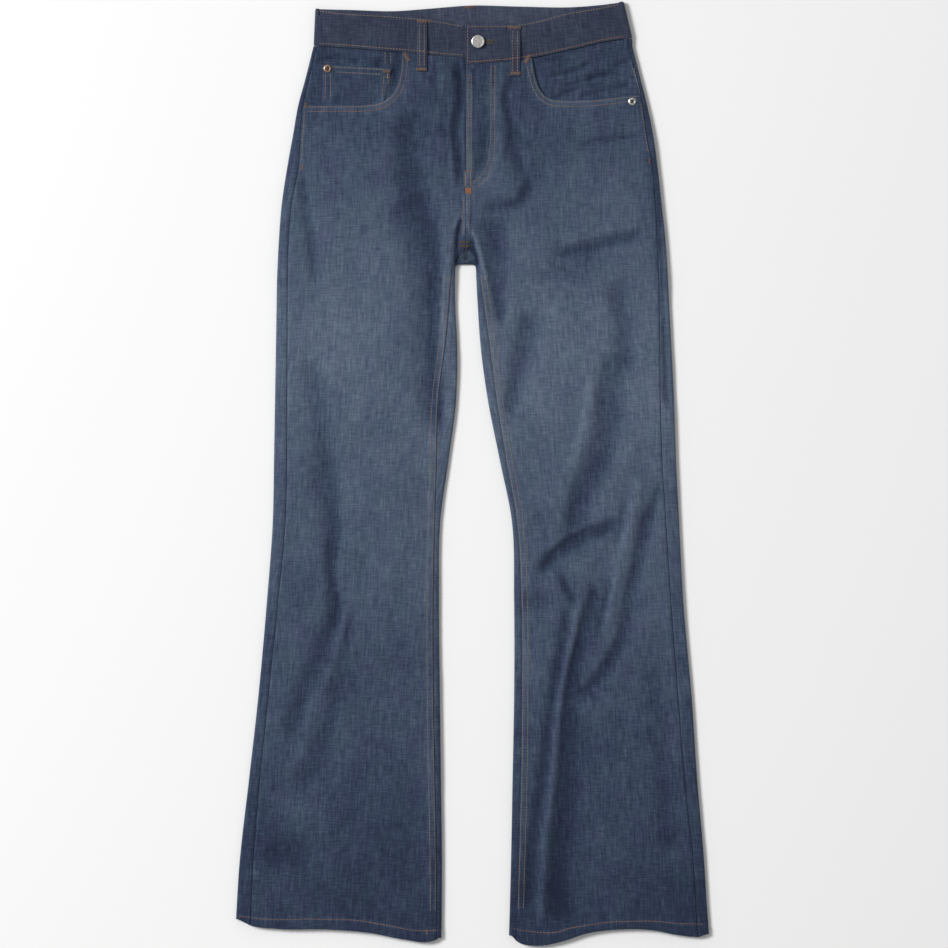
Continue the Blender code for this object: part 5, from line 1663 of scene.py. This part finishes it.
def makeRivet(name, x, y, radius, material, slotName, replaced):
    surface = dropped((x, y), "top")[0][2]
    rings = [(radius * share, depth) for share, depth in rivet["rings"]]
    piece = roundCap(name, (x, y), radius, rivet["thick"], surface - rivet["sunk"], 40, rings)
    editFaces(piece, lambda face: facesUp(face) and fromPlace(face, (x, y)) < 0.01 * mm)
    extrudeUp(rivet["nub"])
    settle(piece, material, [replaced], 0.2, 2)
    piece.data.materials.append(dimpleShadeMetal)
    for face in piece.data.polygons:  # painted shade: the dimple's faces take the dark metal
        if fromPlace(face, (x, y)) < radius * rivet["dimple"] * mm and face.center.z > surface * mm:
            face.material_index = 1


makeButton()
for row in rivets:
    makeRivet(*row)
print("button and rivets made")


# Floor, light and camera.
studio = {
    "floorSize": 8.0,
    "floorColour": (0.93, 0.93, 0.93, 1.0),
    "skyStrength": 0.38,
    "keyPower": 500.0,
    "keyPlace": (-5.0, 2.0, 5.5),
    "keySize": 2.4,
    "cameraHeight": 6.27,
    "cameraPlace": (0.0018, -0.0003),
    "lens": 200.0,
}
bpy.ops.object.select_all(action="DESELECT")
bpy.ops.mesh.primitive_plane_add(size=studio["floorSize"], location=(0, 0, 0))
floor = bpy.context.active_object
floor.name = "floor"
floorPaint = newMaterial("palePaper", 0.9, specular=0.1)[0]
floorPaint.node_tree.nodes["Principled BSDF"].inputs["Base Color"].default_value = studio["floorColour"]
floor.data.materials.append(floorPaint)

world = bpy.data.worlds.new("studio")
bpy.context.scene.world = world
world.use_nodes = True
sky = world.node_tree.nodes["Background"]
sky.inputs[0].default_value = (1.0, 1.0, 1.0, 1.0)
sky.inputs[1].default_value = studio["skyStrength"]

key = bpy.data.objects.new("key", bpy.data.lights.new("key", "AREA"))
key.data.energy = studio["keyPower"]
key.data.size = studio["keySize"]
key.location = studio["keyPlace"]
key.rotation_euler = (-Vector(studio["keyPlace"])).to_track_quat("-Z", "Y").to_euler()
bpy.context.scene.collection.objects.link(key)

camera = bpy.data.objects.new("camera", bpy.data.cameras.new("camera"))
camera.data.lens = studio["lens"]
camera.data.sensor_width = 36.0
camera.location = (*studio["cameraPlace"], studio["cameraHeight"])
camera.data.clip_end = 50.0
bpy.context.scene.collection.objects.link(camera)
bpy.context.scene.camera = camera
bpy.context.scene.view_settings.view_transform = "Standard"
print("studio set")
